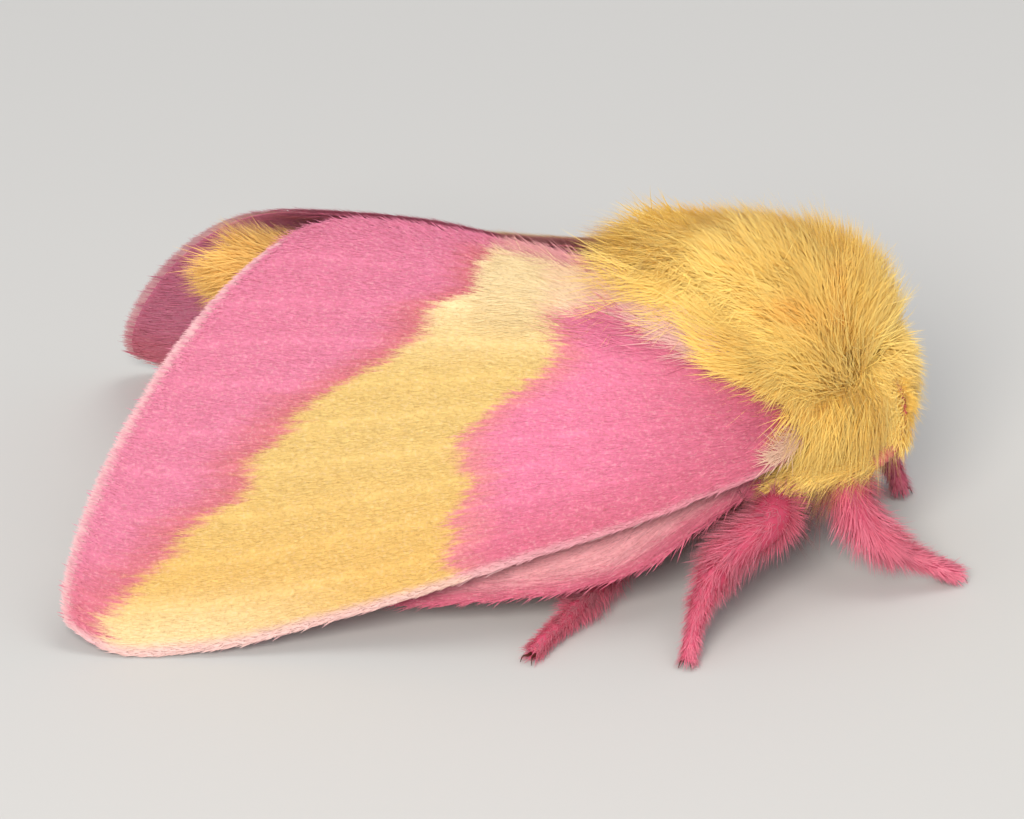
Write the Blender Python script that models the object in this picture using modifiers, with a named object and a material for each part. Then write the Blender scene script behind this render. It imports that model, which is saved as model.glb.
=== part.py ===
"""Rosy maple moth at rest, life size, as a still museum model.

Metres, +Z up. The moth faces +X, its left side is +Y, and its feet and wing tips stand on z = 0.
The origin is the middle of the bounding box's base. Points are written in millimetres and scaled
by MM where they are used.
"""

import math
import random

import bmesh
import bpy
import numpy as np

MM = 0.001
GAP = 0.3  # clearance kept between two solids, mm
MEMBRANE = 0.5  # wing thickness, mm
VEIN = 0.68  # wing thickness over a vein, mm
RIM = 0.3  # wing thickness at its margin, mm
SIDES = {"left": 1.0, "right": -1.0}

# Thorax: an egg under the coat.
THORAX_CENTRE = (6.0, 0.0, 5.4)
THORAX_RADII = (4.0, 3.2, 3.4)
THORAX_LOCKS = 90
CAPE_LOCKS = 7  # on each side, laid over the root of the forewing
CAPE_LOCK_LENGTH = 3.1
THORAX_LOCK_LENGTH = 2.1

# Head, tucked low in front of the thorax, and its round eyes.
HEAD_CENTRE = (9.65, 0.0, 4.65)
HEAD_RADII = (1.1, 1.4, 1.65)
HEAD_HALF_WIDTH = 1.85
HEAD_LOCKS = 32
HEAD_LOCK_LENGTH = 1.3
NECK_POINT = (9.1, 0.0, 4.3)
NECK_TILT = math.radians(30)
EYE_RADIUS = 0.6
EYE_CENTRE = (9.6, 1.35, 4.35)

# Abdomen: centre line from the waist to the tail, and its radius along it.
ABDOMEN_LINE = ((2.6, 0, 5.4), (-0.5, 0, 5.6), (-3.5, 0, 6.15), (-6.0, 0, 7.1), (-7.5, 0, 7.85))
ABDOMEN_RADIUS = 2.35
ABDOMEN_TAPER = 1.05
ABDOMEN_RINGS = 7

# Forewing: the front edge and the inner edge, from the hinge out, then how the outer edge bows.
FORE_COSTA = (
    (8.3, 1.9, 5.5), (7.75, 3.75, 4.55), (4.7, 5.35, 3.5), (0.5, 6.65, 2.38),
    (-4.3, 7.45, 0.92), (-8.2, 8.1, 0.13), (-10.3, 8.2, 0.12), (-11.6, 7.85, 0.7),
)
FORE_INNER = (
    (7.4, 1.8, 6.6), (5.9, 2.6, 7.3), (3.7, 1.75, 7.85), (2.0, 0.6, 8.25),
    (0.6, 0.2, 8.5), (-2.4, 0.2, 9.05), (-4.6, 0.24, 9.2), (-5.8, 0.6, 9.05),
)
FORE_BOW = 1.6  # how far the outer edge bows back past a straight line, mm
ROOF_ARCH = 0.125  # how far the wing arches over its chord, as a share of the chord
FORE_ROWS, FORE_COLUMNS = 20, 20
# Hindwing: its edges on the forewing's own chart (share out from the hinge, share up from the costa).
HIND_COSTA = ((0.16, 0.46), (0.13, 0.15), (0.155, -0.09), (0.21, -0.15), (0.28, -0.2), (0.36, -0.16),
              (0.46, -0.085), (0.56, -0.02), (0.67, 0.05), (0.77, 0.16))
HIND_INNER = ((0.20, 0.62), (0.45, 0.66), (0.72, 0.73), (0.93, 0.84))
HIND_BOW = 0.05
HIND_DEPTH = 0.98  # the hindwing lies this far inside the forewing, mm
HIND_ROWS, HIND_COLUMNS = 12, 12

# Legs of one side: points from the hip to the toe, and the bare leg's radius at each.
FORE_LEG = ((8.2, 0.9, 3.7), (8.75, 1.9, 3.15), (9.2, 2.7, 2.75), (9.75, 3.05, 1.8), (10.6, 3.2, 1.15),
            (11.5, 3.1, 0.72), (12.25, 2.85, 0.22))
FAR_FORE_LEG = ((8.2, 0.9, 3.7), (8.7, 1.7, 3.1), (9.1, 2.35, 2.7), (9.6, 2.6, 1.95), (10.1, 2.6, 1.25),
                (10.45, 2.35, 0.7), (10.7, 2.1, 0.1))
MID_LEG = ((6.2, 1.2, 3.0), (6.9, 2.6, 2.55), (7.15, 4.6, 2.8), (5.9, 5.8, 2.1), (5.45, 6.6, 1.5),
           (5.2, 7.3, 0.9), (5.05, 7.85, 0.1))
HIND_LEG = ((4.0, 1.2, 2.9), (3.6, 2.4, 1.75), (2.9, 3.9, 0.95), (2.2, 5.3, 0.6), (1.62, 6.5, 0.45),
            (1.2, 7.25, 0.38), (0.85, 7.85, 0.22))
FORE_LEG_RADII = (0.62, 0.74, 0.76, 0.62, 0.38, 0.31, 0.34)
MID_LEG_RADII = (0.62, 0.72, 0.72, 0.7, 0.45, 0.28, 0.31)
HIND_LEG_RADII = (0.5, 0.5, 0.45, 0.38, 0.27, 0.28, 0.31)
FORE_LEG_LOCKS, MID_LEG_LOCKS, HIND_LEG_LOCKS = (10, 0.22), (9, 0.22), (5, 0.58)  # how many, from where
SINK = 0.4  # how deep a body lock's root sits under the skin, mm
LEG_SINK = 0.15

# Antenna: from the brow, down past the eye and back under the wing's front edge.
ANTENNA = ((10.1, 0.85, 5.45), (10.53, 1.42, 5.0), (10.53, 2.02, 4.12), (10.05, 2.5, 3.6),
           (9.4, 2.85, 3.5), (8.5, 3.15, 3.55), (7.4, 3.45, 3.5))
ANTENNA_RADII = (0.27, 0.27, 0.27, 0.26, 0.25, 0.25, 0.2)

YELLOW, ROSE = (0.95, 0.62, 0.16), (0.80, 0.20, 0.34)
CREAM, EYE_DARK = (0.93, 0.70, 0.40), (0.03, 0.02, 0.02)


class Path:
    """A smooth curve through a few points. It runs on straight past either end."""

    def __init__(self, points):
        self.points = np.array(points, float)
        steps = np.linalg.norm(np.diff(self.points, axis=0), axis=1)
        self.shares = np.concatenate([[0.0], np.cumsum(steps)]) / steps.sum()
        self.slopes = np.gradient(self.points, self.shares, axis=0)

    def __call__(self, share):
        last = len(self.shares) - 2
        i = int(np.clip(np.searchsorted(self.shares, share) - 1, 0, last))
        span = self.shares[i + 1] - self.shares[i]
        s = (share - self.shares[i]) / span
        a, b = self.points[i], self.points[i + 1]
        if s < 0:
            return a + self.slopes[i] * s * span
        if s > 1:
            return b + self.slopes[i + 1] * (s - 1) * span
        ha, hb = self.slopes[i] * span, self.slopes[i + 1] * span
        return (a * (1 + 2 * s) * (1 - s) ** 2 + ha * s * (1 - s) ** 2
                + b * s * s * (3 - 2 * s) + hb * s * s * (s - 1))

    def along(self, share):
        """Unit direction of the curve there."""
        return unit(self(share + 0.005) - self(share - 0.005))


def unit(v):
    return np.asarray(v, float) / max(np.linalg.norm(v), 1e-12)


def arch(k):
    """Height of the roof's arch over its chord: low at the costa, full near the ridge."""
    return k * (1 - k ** 4)


class Roof:
    """The sheet a folded forewing lies in. t runs from the hinge out, k from the costa to the ridge."""

    def __init__(self):
        self.costa, self.inner = Path(FORE_COSTA), Path(FORE_INNER)

    def point(self, t, k):
        low, high = self.costa(t), self.inner(t)
        chord = high - low
        outward = unit((0.0, chord[2], -chord[1]))
        bow = FORE_BOW * max(t, 0.0) ** 1.5 * max(4 * k * (1 - k), 0.0) ** 0.6
        lift = ROOF_ARCH * np.linalg.norm(chord[1:]) * arch(k)
        return low + chord * k + outward * lift - np.array((bow, 0.0, 0.0))

    def normal(self, t, k, step=0.01):
        k = min(max(k, 2 * step), 1 - 2 * step)
        across = self.point(t, k + step) - self.point(t, k - step)
        out = self.point(t + step, k) - self.point(t - step, k)
        return unit(np.cross(out, across))

    def width(self, t):
        return np.linalg.norm(self.inner(t) - self.costa(t))


ROOF = Roof()


class HindSheet:
    """The hindwing, laid on the forewing's chart and held inside it."""

    def __init__(self):
        self.costa, self.inner = Path(HIND_COSTA), Path(HIND_INNER)

    def chart(self, t, k):
        low, high = self.costa(t), self.inner(t)
        bow = HIND_BOW * max(t, 0.0) ** 2 * max(4 * k * (1 - k), 0.0) ** 0.7
        return low + (high - low) * k + np.array((bow, 0.0))

    def point(self, t, k):
        at = self.chart(t, k)
        return ROOF.point(*at) - ROOF.normal(*at) * HIND_DEPTH

    def width(self, t):
        return np.linalg.norm(self.point(t, 1.0) - self.point(t, 0.0))


# Main veins as (share across the wing, share out where the vein leaves the cell or the hinge).
FORE_VEINS = ((0.1, 0.0), (0.2, 0.45), (0.3, 0.0), (0.4, 0.4), (0.5, 0.4),
              (0.6, 0.4), (0.7, 0.0), (0.8, 0.3), (0.9, 0.0))
HIND_VEINS = ((1 / 6, 0.0), (1 / 3, 0.4), (0.5, 0.4), (2 / 3, 0.0), (5 / 6, 0.0))
CELL_END = 0.4
CELL_EDGES = (0.3, 0.7)


def vein_share(t, k, veins, cell):
    """1 on a vein, 0 on the membrane between."""
    for across, start in veins:
        if abs(k - across) < 1e-3 and t >= start - 1e-3:
            return 1.0
    on_cross_vein = cell and abs(t - CELL_END) < 1e-3 and CELL_EDGES[0] < k < CELL_EDGES[1]
    return 1.0 if on_cross_vein else 0.0


def new_object(name, mesh, collection):
    obj = bpy.data.objects.new(name, mesh)
    collection.objects.link(obj)
    return obj


def material(name, colour, roughness):
    made = bpy.data.materials.get(name) or bpy.data.materials.new(name)
    made.use_nodes = True
    shader = made.node_tree.nodes["Principled BSDF"]
    shader.inputs["Base Color"].default_value = (*colour, 1.0)
    shader.inputs["Roughness"].default_value = roughness
    shader.inputs["Metallic"].default_value = 0.0
    return made


def wing_sheet(name, sheet, side, rows, columns, veins, cell, spare, collection):
    """A wing as a thin solid. spare is how much larger than the wing it is all round, for a cutter."""
    mesh = bpy.data.meshes.new(name)
    bm = bmesh.new()
    bmesh.ops.create_grid(bm, x_segments=rows, y_segments=columns, size=0.5)
    layer = bm.verts.layers.deform.verify()
    full = VEIN + 2 * spare
    for vertex in bm.verts:
        t, k = vertex.co.x + 0.5, vertex.co.y + 0.5
        share = (MEMBRANE - RIM) / (VEIN - RIM)
        if vein_share(t, k, veins, cell):
            share = 1.0
        if vertex.is_boundary and t > 1e-3:
            share = 0.0
        vertex[layer][0] = share if spare == 0 else 1.0
        k += (k - 0.5) * 2 * spare / sheet.width(t)
        t += (t - 0.5) * 2 * spare / 20.0
        x, y, z = sheet.point(t, k)
        vertex.co = (x * MM, y * side * MM, z * MM)
    bmesh.ops.triangulate(bm, faces=bm.faces, quad_method="SHORT_EDGE")
    bm.to_mesh(mesh)
    bm.free()
    wing = new_object(name, mesh, collection)
    wing.vertex_groups.new(name="thickness")
    thicken = wing.modifiers.new("thickness", "SOLIDIFY")
    thicken.thickness = full * MM
    thicken.offset = 0.0
    thicken.vertex_group = "thickness"
    thicken.thickness_vertex_group = RIM / VEIN
    return wing


def baked(obj):
    """The object's evaluated mesh, keeping only its largest closed surface."""
    graph = bpy.context.evaluated_depsgraph_get()
    graph.update()
    mesh = bpy.data.meshes.new_from_object(obj.evaluated_get(graph), depsgraph=graph)
    bm = bmesh.new()
    bm.from_mesh(mesh)
    bmesh.ops.triangulate(bm, faces=bm.faces)
    bmesh.ops.remove_doubles(bm, verts=bm.verts, dist=2e-7)
    bmesh.ops.dissolve_degenerate(bm, edges=bm.edges, dist=2e-7)
    bmesh.ops.triangulate(bm, faces=bm.faces)
    left, islands = set(bm.verts), []
    while left:
        island, edge = set(), [left.pop()]
        while edge:
            vertex = edge.pop()
            island.add(vertex)
            fresh = {e.other_vert(vertex) for e in vertex.link_edges} & left
            left -= fresh
            edge.extend(fresh)
        islands.append(island)
    largest = max(islands, key=volume_of)
    bmesh.ops.delete(bm, geom=[v for v in bm.verts if v not in largest], context="VERTS")
    bm.to_mesh(mesh)
    bm.free()
    return mesh


def volume_of(island):
    """Signed volume inside a set of vertices' own faces."""
    faces = {f for v in island for f in v.link_faces}
    return sum(f.verts[0].co.dot(f.verts[1].co.cross(f.verts[2].co)) for f in faces)


def settle(obj):
    """Applies an object's modifiers and keeps its largest closed surface."""
    mesh = baked(obj)
    obj.modifiers.clear()
    old = obj.data
    obj.data = mesh
    if old.users == 0:
        bpy.data.meshes.remove(old)
    return obj


def join_pieces(obj, pieces):
    """Unites an object with every closed piece of a collection, then removes the pieces."""
    union = obj.modifiers.new("union", "BOOLEAN")
    union.operation, union.solver = "UNION", "MANIFOLD"
    union.operand_type, union.collection = "COLLECTION", pieces
    settle(obj)
    for piece in list(pieces.objects):
        bpy.data.objects.remove(piece)
    bpy.data.collections.remove(pieces)


def cut(obj, cutters, operation="DIFFERENCE"):
    for cutter in cutters:
        step = obj.modifiers.new("cut", "BOOLEAN")
        step.operation, step.solver, step.object = operation, "MANIFOLD", cutter
    settle(obj)


def lock(name, root, along, outward, length, width, stand, sink, collection):
    """One flat, tapered lock. It leaves the skin at the angle stand and bends over along the lie."""
    side = unit(np.cross(along, outward))
    shape = ((0.0, 0.8, 1.0), (0.4, 1.0, 1.0), (0.75, 0.72, 0.75))
    at, last, rings = root - outward * sink, 0.0, []
    for share, wide, thick in shape + ((1.0, 0.0, 0.0),):
        angle = stand * (1 - 0.75 * (share + last) / 2)
        ahead = along * math.cos(angle) + outward * math.sin(angle)
        at = at + ahead * length * (share - last)
        last = share
        up = unit(np.cross(side, ahead))
        if wide == 0.0:
            tip = at
            break
        across, over = side * width * wide / 2, up * MEMBRANE * thick / 2
        rings.append([at + across, at + over, at - across, at - over])
    bm = bmesh.new()
    loops = [[bm.verts.new(p * MM) for p in ring] for ring in rings]
    end = bm.verts.new(tip * MM)
    bm.faces.new(loops[0])
    for a, b in zip(loops, loops[1:]):
        for i in range(4):
            bm.faces.new((a[i], b[i], b[i - 1], a[i - 1]))
    for i in range(4):
        bm.faces.new((loops[-1][i], end, loops[-1][i - 1]))
    bmesh.ops.recalc_face_normals(bm, faces=bm.faces)
    mesh = bpy.data.meshes.new(name)
    bm.to_mesh(mesh)
    bm.free()
    return new_object(name, mesh, collection)


def egg(name, centre, radii, collection, segments=20, rings=12):
    """A closed ellipsoid."""
    mesh = bpy.data.meshes.new(name)
    bm = bmesh.new()
    bmesh.ops.create_uvsphere(bm, u_segments=segments, v_segments=rings, radius=1.0)
    for vertex in bm.verts:
        vertex.co = [(c + r * x) * MM for c, r, x in zip(centre, radii, vertex.co)]
    bm.to_mesh(mesh)
    bm.free()
    return new_object(name, mesh, collection)


def box(name, low, high, collection, about=None, tilt=0.0):
    """A box between two corners, turned about the Y axis through a point."""
    mesh = bpy.data.meshes.new(name)
    bm = bmesh.new()
    bmesh.ops.create_cube(bm, size=1.0)
    pivot = np.array(about if about is not None else (0.0, 0.0, 0.0))
    for vertex in bm.verts:
        p = np.array([a + (b - a) * (x + 0.5) for a, b, x in zip(low, high, vertex.co)]) - pivot
        ahead = p[0] * math.cos(tilt) + p[2] * math.sin(tilt)
        above = p[2] * math.cos(tilt) - p[0] * math.sin(tilt)
        vertex.co = (np.array((ahead, p[1], above)) + pivot) * MM
    bm.to_mesh(mesh)
    bm.free()
    return new_object(name, mesh, collection)


def tube(name, points, radii, side, spare, collection, steps=11):
    """A limb or feeler as a closed tube of changing radius, from a poly curve with filled caps."""
    line, thick = Path(points), np.array(radii, float)
    curve = bpy.data.curves.new(name, "CURVE")
    curve.dimensions, curve.bevel_depth = "3D", MM
    curve.bevel_resolution, curve.use_fill_caps = 2, True
    spline = curve.splines.new("POLY")
    spline.points.add(steps - 1)
    for i, point in enumerate(spline.points):
        share = i / (steps - 1)
        x, y, z = line(share)
        point.co = (x * MM, y * side * MM, z * MM, 1.0)
        point.radius = float(np.interp(share, line.shares, thick)) + spare
    source = new_object(name + "_line", curve, collection)
    graph = bpy.context.evaluated_depsgraph_get()
    graph.update()
    mesh = bpy.data.meshes.new_from_object(source.evaluated_get(graph), depsgraph=graph)
    bpy.data.objects.remove(source)
    bm = bmesh.new()
    bm.from_mesh(mesh)
    bmesh.ops.remove_doubles(bm, verts=bm.verts, dist=1e-6)
    bmesh.ops.recalc_face_normals(bm, faces=bm.faces)
    bm.to_mesh(mesh)
    bm.free()
    mesh.name = name
    return new_object(name, mesh, collection)


def spread(count):
    """Directions spread evenly over a sphere, from the front pole to the back one."""
    golden = math.pi * (3 - math.sqrt(5))
    for i in range(count):
        x = 1 - 2 * (i + 0.5) / count
        ring = math.sqrt(1 - x * x)
        yield np.array((x, ring * math.sin(golden * i), ring * math.cos(golden * i)))


def on_egg(direction, centre, radii):
    """The point and outward normal of an ellipsoid in a direction of its unit sphere."""
    radii = np.array(radii)
    return np.array(centre) + radii * direction, unit(direction / radii)


def lay(flow, outward):
    """The part of a flow that lies in the skin."""
    return unit(flow - outward * np.dot(flow, outward))


def coat(prefix, roots, seed, sink, collection):
    """Locks at the given (point, normal, flow, length, width, stand), each varied a little."""
    draw = random.Random(seed)
    for i, (root, outward, flow, length, width, stand) in enumerate(roots):
        along = lay(np.array(flow), outward)
        swing = math.radians(draw.uniform(-14, 14))
        along = along * math.cos(swing) + np.cross(outward, along) * math.sin(swing)
        lock(f"{prefix}_{i}", root, along, outward, length * draw.uniform(0.85, 1.15),
             width * draw.uniform(0.9, 1.1), stand * draw.uniform(0.85, 1.15), sink, collection)


def thorax_roots():
    """The woolly back: a cape over the wing roots, a tuft over the waist and a collar over the head."""
    for d in spread(THORAX_LOCKS):
        root, outward = on_egg(d, THORAX_CENTRE, THORAX_RADII)
        aside = abs(d[1])
        under_wing = d[0] < 0.1 and aside > 0.35 and d[2] < 0.62
        over_waist = d[0] < -0.3 and (d[2] < 0.6 or aside > 0.5)
        behind_head = d[0] > 0.82 and d[2] < 0.15
        if under_wing or over_waist or behind_head or d[2] < -0.72:
            continue
        if d[0] < -0.3:
            flow, stand, length = (-1.0, 0.2 * d[1], 0.3), 58, 1.15
        elif aside > 0.42 and d[2] > -0.35 and d[0] < 0.78:
            flow, stand, length = (-0.55, math.copysign(0.75, d[1]), -0.6), 26, 1.35
        elif d[0] > 0.45:
            flow, stand, length = (0.75, 0.6 * d[1], -0.6), 52, 1.05
        elif d[2] > 0:
            flow, stand, length = (-1.0, 0.35 * d[1], 0.1), 42, 1.0
        else:
            flow, stand, length = (-0.3, 0.3 * d[1], -1.0), 30, 0.6
        yield root, outward, flow, THORAX_LOCK_LENGTH * length, 1.2, math.radians(stand)
    for side in SIDES.values():
        for i in range(CAPE_LOCKS):
            share = i / (CAPE_LOCKS - 1)
            direction = unit((0.74 - 0.84 * share, 0.56 * side, 0.3 + 0.5 * share))
            root, outward = on_egg(direction, THORAX_CENTRE, THORAX_RADII)
            yield root, outward, (-0.65, 0.6 * side, -0.45), CAPE_LOCK_LENGTH, 1.3, math.radians(30)


def head_roots():
    """The pale face: a brow swept forward and down over the front."""
    for d in spread(HEAD_LOCKS):
        root, outward = on_egg(d, HEAD_CENTRE, HEAD_RADII)
        if d[0] < -0.35 or abs(root[1]) > 1.15 and d[2] < 0.35:
            continue
        flow = (0.25, 0.1 * d[1], -1.0) if d[2] < 0.75 else (1.0, 0.0, -0.2)
        yield root, outward, flow, HEAD_LOCK_LENGTH, 0.8, math.radians(24)


def tail_roots(line):
    """The brush at the abdomen's tip: rings of locks that flare back."""
    rings = ((0.78, 6, 1.6, 30), (0.89, 7, 1.7, 30), (0.97, 5, 1.9, 38))
    for share, count, length, stand in rings:
        centre, axis = line(share), line.along(share)
        for i in range(count):
            turn = 2 * math.pi * (i + 0.5 * (count % 2)) / count
            out = unit(np.array((0.0, math.sin(turn), math.cos(turn))))
            out = unit(out - axis * np.dot(out, axis))
            lift = math.radians(stand * (1 - 0.6 * max(out[2], 0.0)))
            yield centre + out * abdomen_radius(share), out, axis, length, 0.95, lift
    yield line(1.0), line.along(1.0), np.array((0.0, 0.0, 1.0)), 1.6, 0.9, math.radians(80)


def abdomen_radius(share):
    """Full in front, drawn in to the tail, with a faint ring at each segment."""
    drawn_in = (max(share - 0.25, 0.0) / 0.75) ** 1.3
    body = ABDOMEN_RADIUS + (ABDOMEN_TAPER - ABDOMEN_RADIUS) * drawn_in
    rounded = max(1 - (2 * share - 1) ** 2, 0.0) ** 0.3
    return body * rounded * (1 - 0.025 * math.cos(2 * math.pi * ABDOMEN_RINGS * share))


def abdomen_core(name, collection):
    line = Path(ABDOMEN_LINE)
    mesh = bpy.data.meshes.new(name)
    bm = bmesh.new()
    bmesh.ops.create_uvsphere(bm, u_segments=14, v_segments=14, radius=1.0)
    for vertex in bm.verts:
        # The sphere's poles run along the abdomen, from the waist (top pole) to the tail.
        share = (1 - vertex.co.z) / 2
        ring = math.hypot(vertex.co.x, vertex.co.y)
        axis = line.along(share)
        up = unit(np.array((0, 0, 1.0)) - axis * axis[2])
        round_by = np.array((0, 1.0, 0)) * vertex.co.y + up * vertex.co.x
        radius = abdomen_radius(share) / max(ring, 1e-6) if ring > 1e-6 else 0.0
        vertex.co = (line(share) + round_by * radius) * MM
    bmesh.ops.recalc_face_normals(bm, faces=bm.faces)
    bm.to_mesh(mesh)
    bm.free()
    return new_object(name, mesh, collection)


def leg_roots(points, radii, fringe, side):
    """Fringes of a leg: long and loose from the hip to the shin, none on the foot."""
    line = Path(points)
    count, start = fringe
    for i in range(count):
        share = start + (0.82 - start) * (i + 0.5) / count
        turn = 2.4 * i
        axis = line.along(share)
        across = unit(np.cross(axis, (0.0, 0.0, 1.0)))
        out = across * math.sin(turn) + unit(np.cross(across, axis)) * math.cos(turn)
        radius = float(np.interp(share, line.shares, radii))
        root = line(share) + out * radius * 0.8
        mirror = np.array((1.0, side, 1.0))
        length = 1.6 - 1.2 * (share - 0.24)
        yield root * mirror, out * mirror, axis * mirror, length, 0.75, math.radians(46)


def clear_scene():
    for obj in list(bpy.data.objects):
        bpy.data.objects.remove(obj)


def build():
    clear_scene()
    parts = bpy.data.collections.new("rosy_maple_moth")
    cutters = bpy.data.collections.new("cutters")
    for collection in (parts, cutters):
        bpy.context.scene.collection.children.link(collection)
    yellow, rose = material("yellow_coat", YELLOW, 0.85), material("rose_coat", ROSE, 0.85)
    wing_skin, dark = material("wing_scales", CREAM, 0.8), material("eye", EYE_DARK, 0.15)

    floor = box("floor_cutter", (-30, -30, -5), (30, 30, 0), cutters)
    hind = HindSheet()
    wing_cutters = []
    wings = []
    for name, side in SIDES.items():
        for label, sheet, rows, columns, veins, cell in (
            ("forewing_", ROOF, FORE_ROWS, FORE_COLUMNS, FORE_VEINS, True),
            ("hindwing_", hind, HIND_ROWS, HIND_COLUMNS, HIND_VEINS, False),
        ):
            wing = wing_sheet(label + name, sheet, side, rows, columns, veins, cell, 0.0, parts)
            wing.data.materials.append(wing_skin)
            wings.append(wing)
            cutter = wing_sheet(
                label + name + "_cutter", sheet, side, rows, columns, (), False, GAP, cutters)
            wing_cutters.append(cutter)
    for wing in wings:
        if wing.name.startswith("forewing_"):
            cut(wing, [floor])

    legs = {}
    for name, side in SIDES.items():
        fore = FORE_LEG if name == "right" else FAR_FORE_LEG
        legs["fore_" + name] = (fore, FORE_LEG_RADII, FORE_LEG_LOCKS, side)
        legs["mid_" + name] = (MID_LEG, MID_LEG_RADII, MID_LEG_LOCKS, side)
        legs["hind_" + name] = (HIND_LEG, HIND_LEG_RADII, HIND_LEG_LOCKS, side)
    leg_cutters = [tube("leg_" + key + "_cutter", points, radii, side, GAP, cutters)
                   for key, (points, radii, _, side) in legs.items()]
    eye_cutters, antenna_cutters = [], []
    for name, side in SIDES.items():
        centre = (EYE_CENTRE[0], EYE_CENTRE[1] * side, EYE_CENTRE[2])
        eye = egg("eye_" + name, centre, (EYE_RADIUS,) * 3, parts, 14, 8)
        eye.data.materials.append(dark)
        room = (EYE_RADIUS + GAP,) * 3
        eye_cutters.append(egg("eye_" + name + "_cutter", centre, room, cutters, 14, 8))
        antenna = tube("antenna_" + name, ANTENNA, ANTENNA_RADII, side, 0.0, parts)
        antenna.data.materials.append(rose)
        antenna_cutters.append(
            tube("antenna_" + name + "_cutter", ANTENNA, ANTENNA_RADII, side, GAP, cutters))

    # Behind the head's box the neck belongs to the thorax; the box leans forward over the collar.
    neck = np.array(NECK_POINT)
    behind = neck - (GAP, 2.15, 6)
    head_room = box("head_room", behind, neck + (6, 2.15, 6), cutters, neck, NECK_TILT)
    narrow = (0, HEAD_HALF_WIDTH, 6)
    beyond = neck + (6, HEAD_HALF_WIDTH, 6)
    head_box = box("head_box", neck - narrow, beyond, cutters, neck, NECK_TILT)

    thorax = egg("thorax", THORAX_CENTRE, THORAX_RADII, parts, 20, 12)
    locks = bpy.data.collections.new("thorax_locks")
    bpy.context.scene.collection.children.link(locks)
    coat("thorax_lock", thorax_roots(), 11, SINK, locks)
    join_pieces(thorax, locks)
    cut(thorax, [head_room, *wing_cutters, *leg_cutters, *eye_cutters, *antenna_cutters])
    thorax.data.materials.append(yellow)

    head = egg("head", HEAD_CENTRE, HEAD_RADII, parts, 20, 12)
    locks = bpy.data.collections.new("head_locks")
    bpy.context.scene.collection.children.link(locks)
    coat("head_lock", head_roots(), 12, SINK, locks)
    join_pieces(head, locks)
    cut(head, [head_box], "INTERSECT")
    cut(head, [*eye_cutters, *antenna_cutters, *leg_cutters])
    head.data.materials.append(yellow)

    abdomen = abdomen_core("abdomen", parts)
    locks = bpy.data.collections.new("tail_locks")
    bpy.context.scene.collection.children.link(locks)
    coat("tail_lock", tail_roots(Path(ABDOMEN_LINE)), 13, SINK, locks)
    join_pieces(abdomen, locks)
    chest = egg("chest_cutter", THORAX_CENTRE, [r + GAP for r in THORAX_RADII], cutters, 24, 14)
    cut(abdomen, [chest, *wing_cutters])
    abdomen.data.materials.append(yellow)

    for seed, (key, (points, radii, fringe, side)) in enumerate(legs.items()):
        leg = tube("leg_" + key, points, radii, side, 0.0, parts)
        locks = bpy.data.collections.new("leg_locks")
        bpy.context.scene.collection.children.link(locks)
        coat("leg_lock", leg_roots(points, radii, fringe, side), 20 + seed, LEG_SINK, locks)
        join_pieces(leg, locks)
        cut(leg, [floor, *wing_cutters, *antenna_cutters])
        leg.data.materials.append(rose)

    for obj in list(cutters.objects):
        bpy.data.objects.remove(obj)
    bpy.data.collections.remove(cutters)
    for obj in parts.objects:
        obj.data.shade_smooth()
        obj.data.set_sharp_from_angle(angle=math.radians(50))


build()
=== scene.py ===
"""A rosy maple moth at rest: a still, life-size museum model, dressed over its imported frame."""
import math

import bpy
import numpy as np
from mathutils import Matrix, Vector
from mathutils.kdtree import KDTree


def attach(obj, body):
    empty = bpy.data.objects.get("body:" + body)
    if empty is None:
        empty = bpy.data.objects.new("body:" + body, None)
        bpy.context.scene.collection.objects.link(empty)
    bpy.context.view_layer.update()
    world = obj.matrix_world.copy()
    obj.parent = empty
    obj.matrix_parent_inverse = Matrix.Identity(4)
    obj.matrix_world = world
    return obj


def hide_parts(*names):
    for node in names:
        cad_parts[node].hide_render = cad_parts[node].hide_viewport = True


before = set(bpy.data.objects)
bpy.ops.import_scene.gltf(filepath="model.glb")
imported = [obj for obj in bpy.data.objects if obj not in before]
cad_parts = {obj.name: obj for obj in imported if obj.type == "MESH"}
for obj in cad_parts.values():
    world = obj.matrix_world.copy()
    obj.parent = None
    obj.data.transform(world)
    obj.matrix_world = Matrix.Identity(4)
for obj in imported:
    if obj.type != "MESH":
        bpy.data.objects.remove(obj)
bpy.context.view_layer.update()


# Forewing membranes. Each is a stiff clear sheet a few hundredths of a millimetre thick, held by a fan
# of hollow veins and hinged at the thorax. At rest the pair lies over the body like a roof. The veins
# stand up a little under the scales, and the sheet dips between them.
MM = 0.001
SIDES = {"left": 1.0, "right": -1.0}
FORE_COSTA = (
    (8.3, 1.9, 5.5), (7.75, 3.75, 4.55), (4.7, 5.35, 3.5), (0.5, 6.65, 2.38),
    (-4.3, 7.45, 0.92), (-8.2, 8.1, 0.13), (-10.3, 8.2, 0.12), (-11.6, 7.85, 0.7),
)
FORE_INNER = (
    (7.4, 1.8, 6.6), (5.9, 2.6, 7.3), (3.7, 1.75, 7.85), (2.0, 0.6, 8.25),
    (0.6, 0.2, 8.5), (-2.4, 0.2, 9.05), (-4.6, 0.24, 9.2), (-5.8, 0.6, 9.05),
)
FORE_BOW = 1.6
ROOF_ARCH = 0.125
FORE_VEINS = (0.1, 0.2, 0.3, 0.4, 0.5, 0.6, 0.7, 0.8, 0.9)
WING_MARGIN = 0.984  # share out from the hinge where the membrane ends and the fringe begins
MEMBRANE_HALF = 0.06  # half the sheet's thickness, in mm
VEIN_HEIGHT = 0.018
UNDER_T = 0.965  # the under face is rosy all over, as the upper is near the outer edge


def unit(v):
    return v / np.maximum(np.linalg.norm(v, axis=-1, keepdims=True), 1e-12)


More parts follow.
